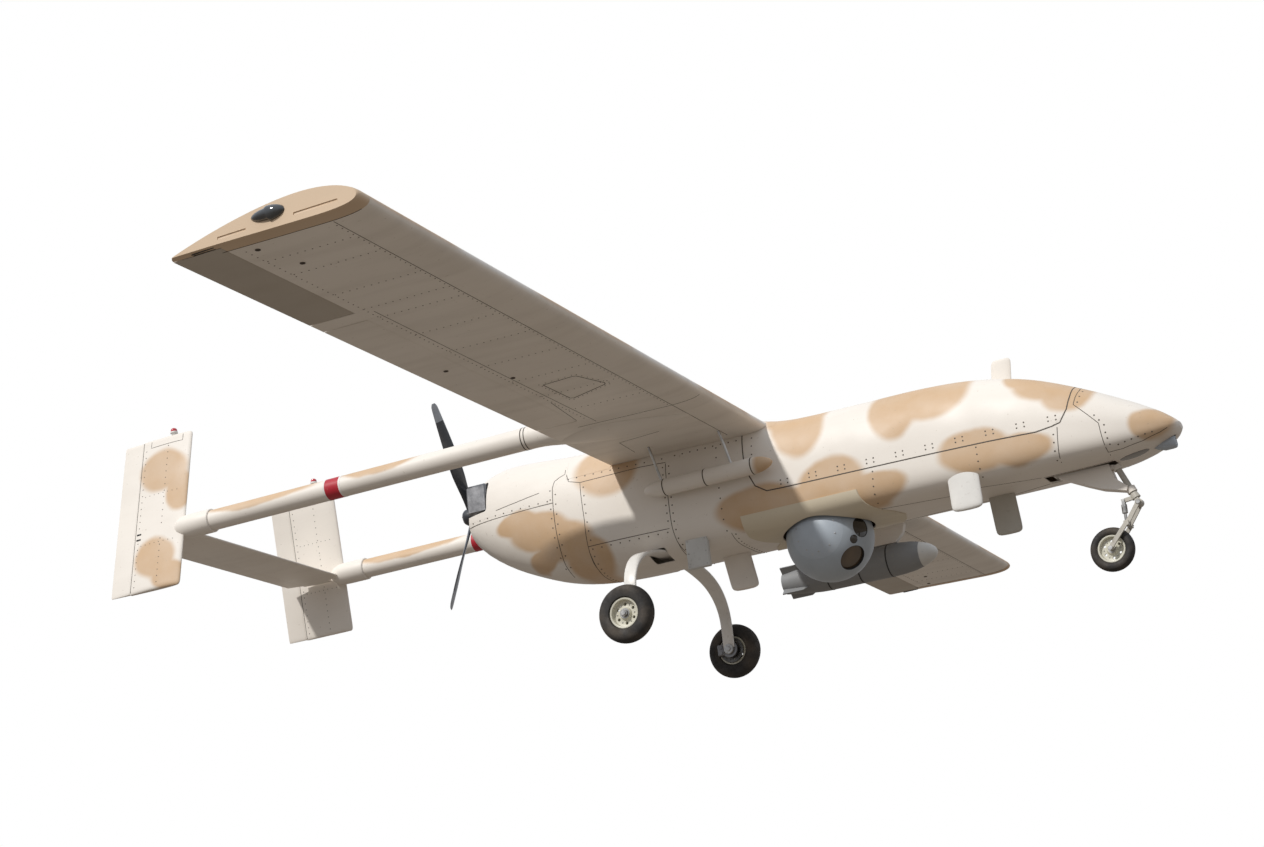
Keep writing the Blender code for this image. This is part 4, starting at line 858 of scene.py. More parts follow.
def make_fuselage_details():
    """Seams, rivets and small fittings of the fuselage, the same on both sides."""
    beads, heads = [], []
    lines = (
        ((-0.346, 1.17), (-0.346, 1.142), (-0.379, 1.130), (-0.412, 1.112), (-0.424, 1.073),
         (-0.424, 0.981), (-0.421, 0.734), (-0.428, 0.637), (-0.423, 0.58)),
        ((-0.244, 1.064), (-0.237, 0.942), (-0.232, 0.834), (-0.240, 0.69), (-0.244, 0.606),
         (-0.238, 0.562)),
        ((-0.335, 1.135), (-0.319, 1.088), (-0.244, 1.064), (0.137, 1.066), (0.293, 1.057)),
        ((0.293, 1.05), (0.293, 0.85), (0.293, 0.68), (0.298, 0.607), (0.310, 0.56)),
        ((-0.24, 0.69), (0.275, 0.679)),
        ((-1.06, 1.002), (-0.871, 0.996), (-0.676, 0.990), (-0.424, 0.983)),
        ((-0.826, 1.041), (-0.673, 1.051), (-0.514, 1.065)),
        ((2.604, 0.97), (2.604, 0.93), (2.590, 0.881), (2.580, 0.84), (2.641, 0.772), (2.690, 0.714),
         (2.694, 0.645), (2.698, 0.586), (2.700, 0.562)),
        ((2.70, 0.571), (2.77, 0.577), (2.875, 0.598), (2.962, 0.628), (3.0, 0.648)),
        ((2.485, 0.735), (2.473, 0.638), (2.460, 0.565)),
    )
    cover = ((0.752, 1.13), (0.761, 0.954), (0.779, 0.872), (0.811, 0.799), (0.874, 0.757), (0.964, 0.754),
             (1.2, 0.752), (1.76, 0.746), (2.119, 0.740), (2.374, 0.732), (2.458, 0.744), (2.503, 0.756),
             (2.545, 0.822), (2.565, 0.898), (2.578, 0.985))
    rows = (
        ((-0.32, 1.102), (0.27, 1.084), 12), ((-0.222, 1.03), (-0.214, 0.72), 7),
        ((-0.215, 0.672), (0.26, 0.661), 9),
        ((0.275, 1.03), (0.275, 0.72), 8), ((0.312, 1.03), (0.312, 0.62), 10),
        ((-0.44, 1.06), (-0.44, 0.62), 9),
        ((-0.405, 1.03), (-0.403, 0.62), 8), ((1.48, 0.725), (1.462, 0.568), 5),
        ((2.053, 0.724), (2.05, 0.575), 5),
        ((2.46, 0.70), (2.445, 0.575), 4), ((-1.02, 1.018), (-0.46, 1.000), 10),
        ((2.62, 0.92), (2.60, 0.85), 3),
        ((2.675, 0.76), (2.715, 0.70), 3), ((2.715, 0.66), (2.722, 0.60), 3),
        ((2.76, 0.594), (2.93, 0.632), 6),
        ((0.81, 1.08), (0.81, 0.88), 5), ((0.60, 1.07), (0.60, 0.60), 9), ((0.35, 1.085), (0.72, 1.085), 9),
    )
    for side in (-1, 1):
        for points in lines:
            beads.append(seam(side_at, points, side=side))
        beads.append(seam(side_at, cover, 0.008, 0.0012, side=side))
        for start, end, count in rows:
            heads += row(side_at, start, end, count, side=side)
        for k in range(10):
            x = 0.98 + 0.165 * k
            for dx in (-0.02, 0.02):
                heads += row(side_at, (x + dx, 0.775), (x + dx, 0.797), 2, side=side)
    for points in (((1.417, 0.176), (1.81, 0.124), (2.014, 0.151), (2.31, 0.077)),
                   ((2.32, 0.0725), (2.69, 0.0725))):
        for side in (-1, 1):
            beads.append(seam(belly_at, [(x, side * y) for x, y in points], 0.004))
    for x in (0.62, 0.30, -0.24):
        beads.append(seam(belly_at, [(x, -0.25), (x, 0.25)], 0.004))
        heads += row(belly_at, (x + 0.02, -0.24), (x + 0.02, 0.24), 15)
    # The seam beads are real joints; their dark colour is painted shade of the panel gaps.
    show("fuselage_seams", gather(*beads), SEAM_GAP_SHADE, slot="fuselage_shell")
    show("fuselage_rivets", gather(*heads), RIVET_STEEL, slot="fuselage_shell")

    outline = [(2.797 + 0.078 * math.cos(a), 0.040 * math.sin(a)) for a in turns(24)]
    levels = ((-0.002, 1.0), (0.0012, 1.0), (0.0014, 0.8), (0.0014, 0.6), (0.0014, 0.4), (0.0014, 0.2))
    window = loft([[belly_point(2.797 + (x - 2.797) * size, y * size - 0.035, lift=t) for x, y in outline]
                   for t, size in levels])
    show("nose_window", window, GLASS, slot="nose_cone")
    show("nose_camera_body", turned([(-0.075, 0.004), (-0.06, 0.018), (-0.02, 0.033), (0.02, 0.034),
                                     (0.036, 0.0325), (0.042, 0.028), (0.042, 0.021), (0.034, 0.020)],
                                     (2.968, 0, 0.597),
                                    (1, 0, 0.04)), YOKE_PAINT, nodes="nose_camera")
    show("nose_camera_lens", turned([(0.034, 0.0198), (0.038, 0.0195), (0.0415, 0.012), (0.0425, 0.004)],
                                    (2.968, 0, 0.597), (1, 0, 0.04)), GLASS, slot="nose_camera")
    plate = box((0.345, -0.262, 0.435), (0.475, -0.228, 0.600), 0.006, 3)
    show("belly_plate", plate, PLATE_PAINT, slot="fuselage_shell")
    screws = [dome(Vector((x, -0.262, z)), Vector((0, -1, 0)), 0.0045, 0.0022, 12)
              for x in (0.358, 0.462) for z in (0.45, 0.52, 0.59)]
    show("belly_plate_screws", gather(*screws), STEEL, slot="fuselage_shell")


# Windows of the ball as (azimuth, elevation, radius, depth), the large one first
TURRET_WINDOWS = ((-32, -43, 0.074, 0.016), (-25, -1, 0.054, 0.006), (-37.6, -17, 0.024, 0.005))


def make_turret():
    """Riveted doubler on the belly and the sensor ball in its yoke."""
    centre = Vector((TURRET_X, 0, TURRET_Z))
    half = [(0.80, 0.0), (0.745, 0.08), (0.70, 0.20), (0.70, 0.32), (1.36, 0.32), (1.44, 0.20),
            (1.50, 0.10), (1.53, 0.0)]
    outline = half + [(x, -y) for x, y in half[-2:0:-1]]
    plate = cut(fuselage_body(0.0045, 0.5, 1.7, step=0.05), fuselage_body(GAP, 0.4, 1.75, step=0.05))
    plate = keep(plate, prism(outline, 0.4, 0.652, "z"))
    hole = turned([(0.3, 0.2525), (0.72, 0.2525)], (TURRET_X, 0, 0), (0, 0, 1), 72)
    show("turret_fairing_plate", cut(plate, hole), FAIRING_PAINT, nodes="turret_fairing")
    heads = []
    for side in (-1, 1):
        for start, end, count in (((0.73, 0.63), (0.73, 0.57), 3), ((0.76, 0.63), (1.33, 0.63), 16)):
            heads += row(lambda x, z: side_at(x, z, side), start, end, count, FAIRING_RIVET)
        for start, end, count in (((0.765, 0.07), (0.73, 0.22), 4), ((1.37, 0.26), (1.49, 0.05), 7)):
            heads += row(lambda x, y: belly_at(x, side * y), start, end, count, SMALL_RIVET)
    show("turret_fairing_rivets", gather(*heads), RIVET_STEEL, slot="turret_fairing")

    flat = TURRET_R * 0.786
    ball = sphere(TURRET_R, centre)
    sides = [box((TURRET_X - 0.3, y0, 0.2), (TURRET_X + 0.3, y1, 0.8))
             for y0, y1 in ((-0.4, -flat), (flat, 0.4))]
    bores, glass, rings = [], [], []
    for azimuth, elevation, radius, floor in TURRET_WINDOWS:
        look = facing(azimuth, elevation)
        depth = math.sqrt(TURRET_R ** 2 - radius ** 2)
        bores.append(turned([(depth - floor, radius), (depth + 0.2, radius)], centre, look, 48))
        top = depth - 0.001
        rings.append(turned([(depth - floor, radius * 0.999), (top, radius * 0.999), (top, radius * 0.97),
                             (depth - floor + 0.004, radius * 0.95), (depth - floor, radius * 0.95)],
                            centre, look, 64, ring=True))
        glass.append(turned([(depth - floor, radius * 0.955), (depth - floor + 0.003, radius * 0.955),
                             (depth - floor + 0.006, radius * 0.6), (depth - floor + 0.007, radius * 0.2)],
                            centre, look, 48))
    show("turret_ball_shell", cut(ball, *sides, *bores), TURRET_PAINT, "turret_ball", "turret_ball")
    show("turret_window_glass", glass[0], AMBER_GLASS, "turret_ball", "turret_window")
    show("turret_lenses", gather(*glass[1:]), GLASS, "turret_ball", slot="turret_window")
    show("turret_window_rings", gather(*rings), BLACK_PLASTIC_AND_SLOT_SHADE, "turret_ball", slot="turret_ball")

    cap_start = flat + GAP
    cheek = keep(sphere(TURRET_R, centre, 96, 56),
                 box((TURRET_X - 0.2, cap_start, 0.2), (TURRET_X + 0.2, 0.4, 0.75)))
    arm = box((TURRET_X - 0.09, cap_start, TURRET_Z + 0.02), (TURRET_X + 0.09, 0.213, 0.755), 0.008, 3)
    half = join(cheek, arm)
    plate = turned([(0.7455, 0.215), (0.7605, 0.215), (0.761, 0.15), (0.7755, 0.15)], (TURRET_X, 0, 0),
                   (0, 0, 1), 64)
    show("turret_yoke_frame", join(plate, half, mirrored(half)), YOKE_PAINT, "turret_yoke", "turret_yoke")
    screws = []
    for side in (-1, 1):
        for k in range(10):
            a = 2 * math.pi * (k + 0.5) / 10
            p = Vector((TURRET_X + 0.112 * math.cos(a), 0, TURRET_Z + 0.112 * math.sin(a)))
            out = math.sqrt(TURRET_R ** 2 - 0.112 ** 2)
            p.y = side * out
            screws.append(dome(p, (p - centre).normalized(), 0.0042, 0.002, 10))
    show("turret_yoke_screws", gather(*screws), STEEL, "turret_yoke", slot="turret_yoke")


def make_wing():
    """Wing skins, control surfaces, tip caps with their lights, and the seams and rivets on them."""
    section = wing_outline()
    centre = prism(section, -CENTRE_HALF, CENTRE_HALF)
    show("wing_centre_skin", centre, WING_PAINT, nodes="wing_centre")
    panel = prism(section, CENTRE_HALF + GAP, TIP_Y)
    upper, lower = wing_z(HINGE_X)
    hinge_z = (upper + lower) / 2
    cove = (upper - lower) / 2 + COVE_GAP

    def bay(low, high):
        return join(box((-0.2, low, 0.9), (HINGE_X, high, 1.4)),
                    rod((HINGE_X, low, hinge_z), (HINGE_X, high, hinge_z), cove, 48))

    panel = cut(panel, bay(FLAP_Y[0] - 0.005, FLAP_Y[1] + 0.005))
    show_both("wing_panel_skin", cut(panel, bay(AILERON_Y[0] - 0.005, 4.3)), WING_PAINT,
              node="wing_panel_{side}")
    control = control_outline()
    # The ailerons take the darker paint that is painted shade of their deflection.
    show_both("aileron_skin", prism(control, *AILERON_Y), AILERON_SHADE_PAINT, "aileron_{side}", "aileron_{side}")
    show_both("flap_skin", prism(control, *FLAP_Y), WING_PAINT, "flap_{side}", "flap_{side}")

    middle = ((HINGE_X + WING_LE_X) / 2, sum(wing_z(0.5)) / 2)
    rings = []
    for y, share in ((TIP_Y + GAP, 1.0), (4.205, 1.0), (4.222, 0.992), (4.236, 0.97), (4.246, 0.935),
                     (HALF_SPAN, 0.9)):
        rings.append([(middle[0] + (x - middle[0]) * (1 - (1 - share) * 0.35), y,
                       middle[1] + (z - middle[1]) * share) for x, z in section])
    tip = cut(loft(rings), bay(4.0, AILERON_Y[1] + 0.005))
    lamp = [(0.45 + 0.08 * math.cos(a), 1.185 + 0.034 * math.sin(a) * (1.0 if math.cos(a) > 0 else 0.75))
            for a in turns(40)]
    levels = ((HALF_SPAN - 0.012, 1.0), (HALF_SPAN + 0.004, 1.0), (HALF_SPAN + 0.011, 0.92),
              (HALF_SPAN + 0.019, 0.72), (HALF_SPAN + 0.0245, 0.48), (HALF_SPAN + 0.027, 0.2))
    lens = loft([[(0.455 + (x - 0.455) * size, y, 1.185 + (z - 1.185) * size) for x, z in lamp]
                 for y, size in levels])
    seat = prism(grown(lamp, GAP), HALF_SPAN - 0.0125, 4.5)
    slots = [box((x0, HALF_SPAN - 0.004, z - 0.006), (x1, 4.4, z + 0.006), 0.002)
             for x0, x1, z in ((0.20, 0.34, 1.148), (0.57, 0.78, 1.150))]
    show_both("wing_tip_skin", cut(tip, seat, *slots), TIP_PAINT, node="wing_tip_{side}")
    show_both("tip_lens", lens, LAMP, node="nav_light_{side}")
    wick = [rod((0.17, y, 1.12), (0.06, y, 1.118), 0.0022, 10) for y in (4.222, 4.236)]
    show_both("static_wicks", gather(*wick), BLACK_PLASTIC_AND_SLOT_SHADE, slot="wing_tip_{side}")

    beads, heads = [], []
    for side in (-1, 1):
        def under(x, y):
            return wing_at(x, side * y)

        beads.append(seam(under, [(0.70, 0.33), (0.70, 4.16)], 0.004))
        heads += row(under, (0.688, 1.06), (0.688, 4.12), 78, WING_RIVET)
        for y in (1.33, 1.62, 1.92, 2.22, 2.52, 2.82, 3.12, 3.25, 3.48, 3.79, 3.98):
            heads += row(under, (0.255, y), (0.66, y), 12, WING_RIVET)
        heads += row(under, (0.247, 1.15), (0.247, 4.12), 76, WING_RIVET)
        beads.append(seam(under, [(0.272, 1.06), (0.272, 3.2)], 0.0035))
        beads.append(seam(under, [(0.168, 4.172), (0.84, 4.172)], 0.005))
        beads.append(seam(under, [(0.15, CENTRE_HALF), (0.86, CENTRE_HALF)], 0.004))
        beads.append(seam(under, [(0.24, 1.498), (0.198, 1.141)], 0.004))
        beads.append(seam(under, [(0.446, 0.66), (0.186, 0.62), (0.17, 0.40)], 0.004))
        hatch = [(0.347, 1.777), (0.352, 1.50), (0.37, 1.49), (0.592, 1.578), (0.60, 1.60), (0.54, 1.79),
                 (0.52, 1.797), (0.347, 1.777)]
        beads.append(seam(under, hatch, 0.006, 0.001))
        for a, b in zip(hatch, hatch[1:]):
            count = max(2, round((Vector(b) - Vector(a)).length / 0.028))
            middle_point = Vector((0.46, 1.65))
            out = [Vector(p) + (Vector(p) - middle_point).normalized() * 0.022 for p in (a, b)]
            heads += row(under, out[0], out[1], count, SMALL_RIVET)
        for x, y in ((0.092, 2.285), (0.288, 1.976), (0.297, 4.11), (0.355, 3.875)):
            here, normal = under(x, y)
            beads.append(turned([(-0.002, 0.012), (0.0025, 0.012), (0.004, 0.008), (0.001, 0.006)], here,
                                normal, 24))
        beads.append(seam(lambda x, y: wing_at(x, side * y, True), [(0.62, 1.04), (0.62, 4.16)], 0.004))
        heads += row(lambda x, y: wing_at(x, side * y, True), (0.605, 1.06), (0.605, 4.12), 78, WING_RIVET)
    # The seam beads are real joints; their dark colour is painted shade of the panel gaps.
    show("wing_seams", gather(*beads), SEAM_GAP_SHADE, slot="wing_centre")
    show("wing_rivets", gather(*heads), RIVET_STEEL, slot="wing_centre")


def make_booms():
    """Tail booms with their flattened roots, bands and joint rings."""
    columns = ((BOOM_END_X, 0, BOOM_Z, BOOM_R, BOOM_R), (-1.6, 0, BOOM_Z, BOOM_R, BOOM_R),
               (-0.6, 0, BOOM_Z, 0.0615, 0.0615), (-0.275, 0, BOOM_Z, 0.063, 0.063),
               (-0.16, 0.007, 1.200, 0.068, 0.064), (-0.045, 0.02, 1.180, 0.098, 0.062),
               (0.08, 0.03, 1.152, 0.140, 0.049), (0.28, 0.022, 1.122, 0.150, 0.028),
               (0.5, 0.01, 1.114, 0.105, 0.020), (0.70, 0.0, 1.112, 0.03, 0.010))
    curves = [[(c[0], c[k]) for c in columns] for k in range(1, 5)]
    rings = []
    for x in steps(BOOM_END_X, -0.3, 0.15) + steps(-0.275, 0.70, 0.035):
        out, z, wide, high = [along(curve, x) for curve in curves]
        rings.append([(x, BOOM_Y + out + wide * math.cos(a), z + high * math.sin(a))
                      for a in turns(48)])
    wing = prism(wing_outline(grow=GAP), 0.5, 1.3)
    show_both("boom_tube", cut(loft(rings), wing), BOOM_PAINT, node="tail_boom_{side}")
    centre = (0, BOOM_Y, BOOM_Z)
    show_both("boom_band_red", hoop(-1.552, -1.460, 0.0599, 0.0609, centre), RED_PAINT,
              slot="tail_boom_{side}")
    whites = [hoop(x, x + 0.012, 0.0597, 0.0612, centre) for x in (-1.564, -1.460)]
    show_both("boom_band_edges", gather(*whites), WHITE_PAINT, slot="tail_boom_{side}")
    rings = [hoop(x, x + 0.006, 0.062, 0.0640, centre) for x in (-0.283, -0.262)]
    # The joint rings are real; their dark colour is painted shade of the gaps at the boom joints.
    show_both("boom_joint_rings", gather(*rings), SEAM_GAP_SHADE, slot="tail_boom_{side}")


def make_tail():
    """Canted fins, rudders, beacons, collars, tailplane and elevator."""
    body = [(0.0, 0.55), (0.003, 0.72), (0.008, 0.86), (0.016, 0.95), (0.03, 1.0), (0.25, 1.0), (0.5, 1.0),
            (0.75, 1.0), (0.975, 1.0), (0.985, 0.95), (0.992, 0.86), (0.997, 0.72), (1.0, 0.5)]
    hinge_x = FIN_LE_X - FIN_CHORD * RUDDER_SHARE
    cove = naca(RUDDER_SHARE, 0.0, FIN_THICKNESS)[0] * FIN_CHORD + COVE_GAP
    fin = cut(fin_solid(fin_outline(), body),
              rod(fin_point(hinge_x, 0, -0.05), fin_point(hinge_x, 0, 1.05), cove, 40))
    show_both("fin_skin", fin, FIN_PAINT, node="fin_{side}")
    ends = [(0.004 + 0.992 * h, size) for h, size in body]
    rudder = fin_solid(rudder_outline(FIN_LE_X, FIN_CHORD, RUDDER_SHARE, FIN_THICKNESS), ends)
    show_both("rudder_skin", rudder, FIN_PAINT, "rudder_{side}", "rudder_{side}")
    base = turned([(0.0025, 0.017), (0.012, 0.017), (0.013, 0.0225), (0.022, 0.0225), (0.024, 0.0205)],
                  fin_point(-2.68, 0.0, 1.0), (0, 0, 1), 40)
    dome_part = turned([(0.0235, 0.019), (0.034, 0.0195), (0.040, 0.0165), (0.044, 0.0115), (0.0465, 0.006),
                        (0.047, 0.0015)], fin_point(-2.68, 0.0, 1.0), (0, 0, 1), 40)
    show_both("beacon_base", base, WHITE_PAINT, slot="fin_beacon_{side}")
    show_both("beacon_dome", dome_part, RED_LENS, node="fin_beacon_{side}")
    collar = turned([(0.0, 0.0645), (0.002, 0.068), (0.006, 0.070), (0.14, 0.070), (0.17, 0.0690),
                     (0.19, 0.067), (0.21, 0.0625), (0.23, 0.056), (0.245, 0.046), (0.255, 0.036),
                     (0.260, 0.024), (0.262, 0.012)],
                    (-2.36, BOOM_Y, BOOM_Z), (-1, 0, 0), 48)
    bore = rod((-2.3, BOOM_Y, BOOM_Z), (BOOM_END_X - GAP, BOOM_Y, BOOM_Z), BOOM_R + GAP, 48)
    slot = fin_solid(fin_outline(grow=GAP), [(-0.01, 1.0), (1.01, 1.0)])
    show_both("boom_collar_shell", cut(cut(collar, bore), slot), PLAIN, node="boom_collar_{side}")

    shares = [(ELEVATOR_SHARE - 0.004) * (1 - math.cos(math.pi / 2 * k / 20)) for k in range(21)]
    top = [(STAB_LE_X - STAB_CHORD * s, STAB_Z + naca(s, 0.0, STAB_THICKNESS)[0] * STAB_CHORD)
           for s in shares]
    low = [(x, 2 * STAB_Z - z) for x, z in top[:0:-1]]
    stabiliser = prism(top + low, -0.84, 0.84)
    clear = turned([(-0.01, 0.0706), (0.2, 0.0706), (0.27, 0.06)], (-2.36, BOOM_Y, BOOM_Z), (-1, 0, 0), 40)
    sheared = prism([(0.826, 1.0), (0.78, 1.4), (1.1, 1.4), (1.1, 1.0)], -3.3, -2.3, "x")
    stab_hinge = STAB_LE_X - STAB_CHORD * ELEVATOR_SHARE
    cove = naca(ELEVATOR_SHARE, 0.0, STAB_THICKNESS)[0] * STAB_CHORD + COVE_GAP
    stab_cove = rod((stab_hinge, -ELEVATOR_HALF - 0.005, STAB_Z),
                    (stab_hinge, ELEVATOR_HALF + 0.005, STAB_Z), cove, 40)
    stabiliser = cut(stabiliser, sheared, mirrored(sheared), clear, mirrored(clear), stab_cove)
    show("stabiliser_skin", stabiliser, PLAIN, nodes="stabiliser")
    outline = [(x, STAB_Z + o)
               for x, o in rudder_outline(STAB_LE_X, STAB_CHORD, ELEVATOR_SHARE, STAB_THICKNESS)]
    show("elevator_skin", prism(outline, -ELEVATOR_HALF, ELEVATOR_HALF), PLAIN, "elevator", "elevator")

    beads, heads, dark = [], [], []
    for side in (-1, 1):
        for outer in (True, False):
            extra = {"side": side, "outer": outer}
            beads.append(seam(fin_at, [(-2.60, 0.985), (-2.60, 0.945), (-2.83, 0.945), (-2.83, 0.985)],
                              0.004, **extra))
            beads.append(seam(fin_at, [(-2.889, 0.01), (-2.889, 0.99)], 0.005, **extra))
            for x in (-2.865, -2.70):
                for h0, h1, count in ((0.04, 0.32, 8), (0.42, 0.93, 13)):
                    heads += row(fin_at, (x, h0), (x, h1), count, WING_RIVET, **extra)
            heads += row(fin_at, (-2.61, 0.62), (-2.84, 0.62), 8, 0.0027, **extra)
            heads += row(fin_at, (-2.61, 0.30), (-2.84, 0.30), 8, 0.0027, **extra)
        # Two dark boxes on each fin face stand for slots: their black is painted shade of the openings.
        for z in (1.182, 1.215):
            here, normal = fin_at(-2.862, (z - FIN_BOTTOM[1]) / (FIN_TOP[1] - FIN_BOTTOM[1]), side)
            dark.append(moved(box((-0.016, -0.002, -0.0045), (0.016, 0.002, 0.0045), 0.0015),
                              Matrix.Translation(here + normal * 0.001)))
    # The seam beads are real joints; their dark colour is painted shade of the panel gaps.
    show("fin_seams", gather(*beads), SEAM_GAP_SHADE, slot="fin_right")
    show("fin_rivets", gather(*heads), RIVET_STEEL, slot="fin_right")
    # The slot boxes are painted shade of the fin slots.
    show("fin_slots", gather(*dark), BLACK_PLASTIC_AND_SLOT_SHADE, slot="fin_right")


def make_power():
    """Propeller with its hub, and the bolts on the gear case."""
    hub = turned([(-0.055, 0.018), (-0.054, 0.030), (-0.050, 0.040), (-0.040, 0.047), (-0.03, 0.05),
                  (0.03, 0.05), (0.040, 0.045), (0.045, 0.036)], (PROP_X, 0, SHAFT_Z), (1, 0, 0), 48)
    shaft = rod((PROP_X, 0, SHAFT_Z), (-0.86, 0, SHAFT_Z), 0.020, 32)
    chords = ((0.02, 0.04), (0.12, 0.05), (0.28, 0.083), (0.45, 0.08), (0.62, 0.062), (0.69, 0.05),
              (PROP_R, 0.026))
    pitches = ((0.02, 60), (0.12, 48), (0.28, 36), (0.45, 26), (0.62, 20), (PROP_R, 17))
    thicks = ((0.02, 0.02), (0.12, 0.017), (0.28, 0.013), (0.45, 0.010), (0.62, 0.007), (0.69, 0.005),
              (PROP_R, 0.003))
    blades, tips = [], []
    for turn in (150, 270, 30):
        rings = []
        radii = steps(0.02, 0.69, 0.03) + [0.698, 0.704, 0.708, PROP_R]
        for r in radii:
            tilt = math.radians(along(pitches, r))
            chord, thick = along(chords, r), along(thicks, r)
            ring = []
            for a in turns(28):
                u, v = chord / 2 * math.cos(a), thick / 2 * math.sin(a) * (1 + 0.35 * math.cos(a))
                ring.append((u * math.sin(tilt) - v * math.cos(tilt),
                             u * math.cos(tilt) + v * math.sin(tilt), r))
            rings.append(ring)
        place = Matrix.Translation((PROP_X, 0, SHAFT_Z)) @ Matrix.Rotation(math.radians(turn), 4, "X")
        split = next(i for i, r in enumerate(radii) if r > 0.585)
        blades.append(moved(loft(rings[:split + 1]), place))
        tips.append(moved(loft(rings[split:]), place))
    bolts = [dome(Vector((PROP_X - 0.0505, 0.030 * math.cos(a), SHAFT_Z + 0.030 * math.sin(a))),
                  Vector((-1, 0, 0)), 0.006, 0.006, 6) for a in turns(6)]
    show("propeller_blades", gather(hub, shaft, *blades), BLADE_PAINT, "propeller", "propeller")
    show("propeller_tips", gather(*tips), BLADE_TIP, "propeller", slot="propeller")
    show("propeller_bolts", gather(*bolts), STEEL, "propeller", slot="propeller")
    repaint("engine_block", CAST, 0.0015)
    repaint("engine_mount", DARK_STEEL, 0.001)
    bolts = [dome(Vector((-1.043, 0.057 * math.cos(a), SHAFT_Z + 0.057 * math.sin(a))), Vector((-1, 0, 0)),
                  0.0045, 0.004, 6) for a in turns(8)]
    show("gearcase_bolts", gather(*bolts), STEEL, slot="engine_block")


def tyre_section(radius, width, rim):
    """Closed tyre section as (across, radius) points, with shallow circumferential grooves."""
    half = width / 2
    points = []
    for k in range(33):
        a = math.pi * k / 32
        r = rim + (radius - rim) * (0.42 + 0.58 * math.sin(a) ** 0.8)
        across = -half * math.cos(a) * (1 if k in (0, 32) else 0.98)
        if k in (12, 16, 20):
            r -= 0.0022
        points.append((across, r))
    bead = [(half * 0.9, rim + 0.006), (half * 0.72, rim + GAP)]
    return [(-t, r) for t, r in reversed(bead)] + points + bead


def rim_section(w, rim, bore):
    """Closed section of a dished wheel with half width w."""
    side = [(0.5, 0.0), (0.5, 0.34), (0.46, 0.37), (0.22, 0.42), (0.2, 0.45), (0.2, 0.78), (0.24, 0.82),
            (0.66, 0.86), (0.74, 0.88), (0.77, 0.92), (0.76, 0.985), (0.72, 0.997)]
    right = [(w * a, max(bore, rim * b)) for a, b in side]
    return [(-t, r) for t, r in right] + right[::-1]


def make_wheel(tag, centre, radius, width, rim, bore, body):
    """Tyre, dished rim with six holes, and its bolts."""
    centre = Vector(centre)
    show("tyre_body_" + tag, turned(tyre_section(radius, width, rim), centre, (0, 1, 0), 80, ring=True),
         RUBBER, body, "tyre_" + tag)
    w = width / 2
    mesh = turned(rim_section(w, rim, bore), centre, (0, 1, 0), 64, ring=True)
    holes = []
    for k in range(6):
        a = 2 * math.pi * (k + 0.5) / 6
        p = centre + Vector((math.cos(a), 0, math.sin(a))) * rim * 0.61
        holes.append(rod(p - Vector((0, width, 0)), p + Vector((0, width, 0)), rim * 0.10, 20))
    show("rim_disc_" + tag, cut(mesh, *holes), RIM_PAINT, body, "rim_" + tag)
    bolts = []
    for side in (-1, 1):
        for a in turns(6):
            p = centre + Vector((math.cos(a) * rim * 0.61, side * w * 0.2, math.sin(a) * rim * 0.61))
            bolts.append(dome(p, Vector((0, side, 0)), rim * 0.055, rim * 0.05, 6))
        bolts.append(turned([(w * 0.5 - 0.001, bore * 1.9), (w * 0.5 + 0.003, bore * 1.9),
                             (w * 0.5 + 0.003, bore * 1.1), (w * 0.5 - 0.001, bore * 1.1)], centre,
                             (0, side, 0), 32, ring=True))
    show("rim_bolts_" + tag, gather(*bolts), STEEL, body, slot="rim_" + tag)


SPRING = ((0.0, 0.585), (0.17, 0.583), (0.30, 0.566), (0.42, 0.535), (0.51, 0.492), (0.575, 0.432),
          (0.612, 0.36), (0.622, 0.28), (0.622, 0.165))


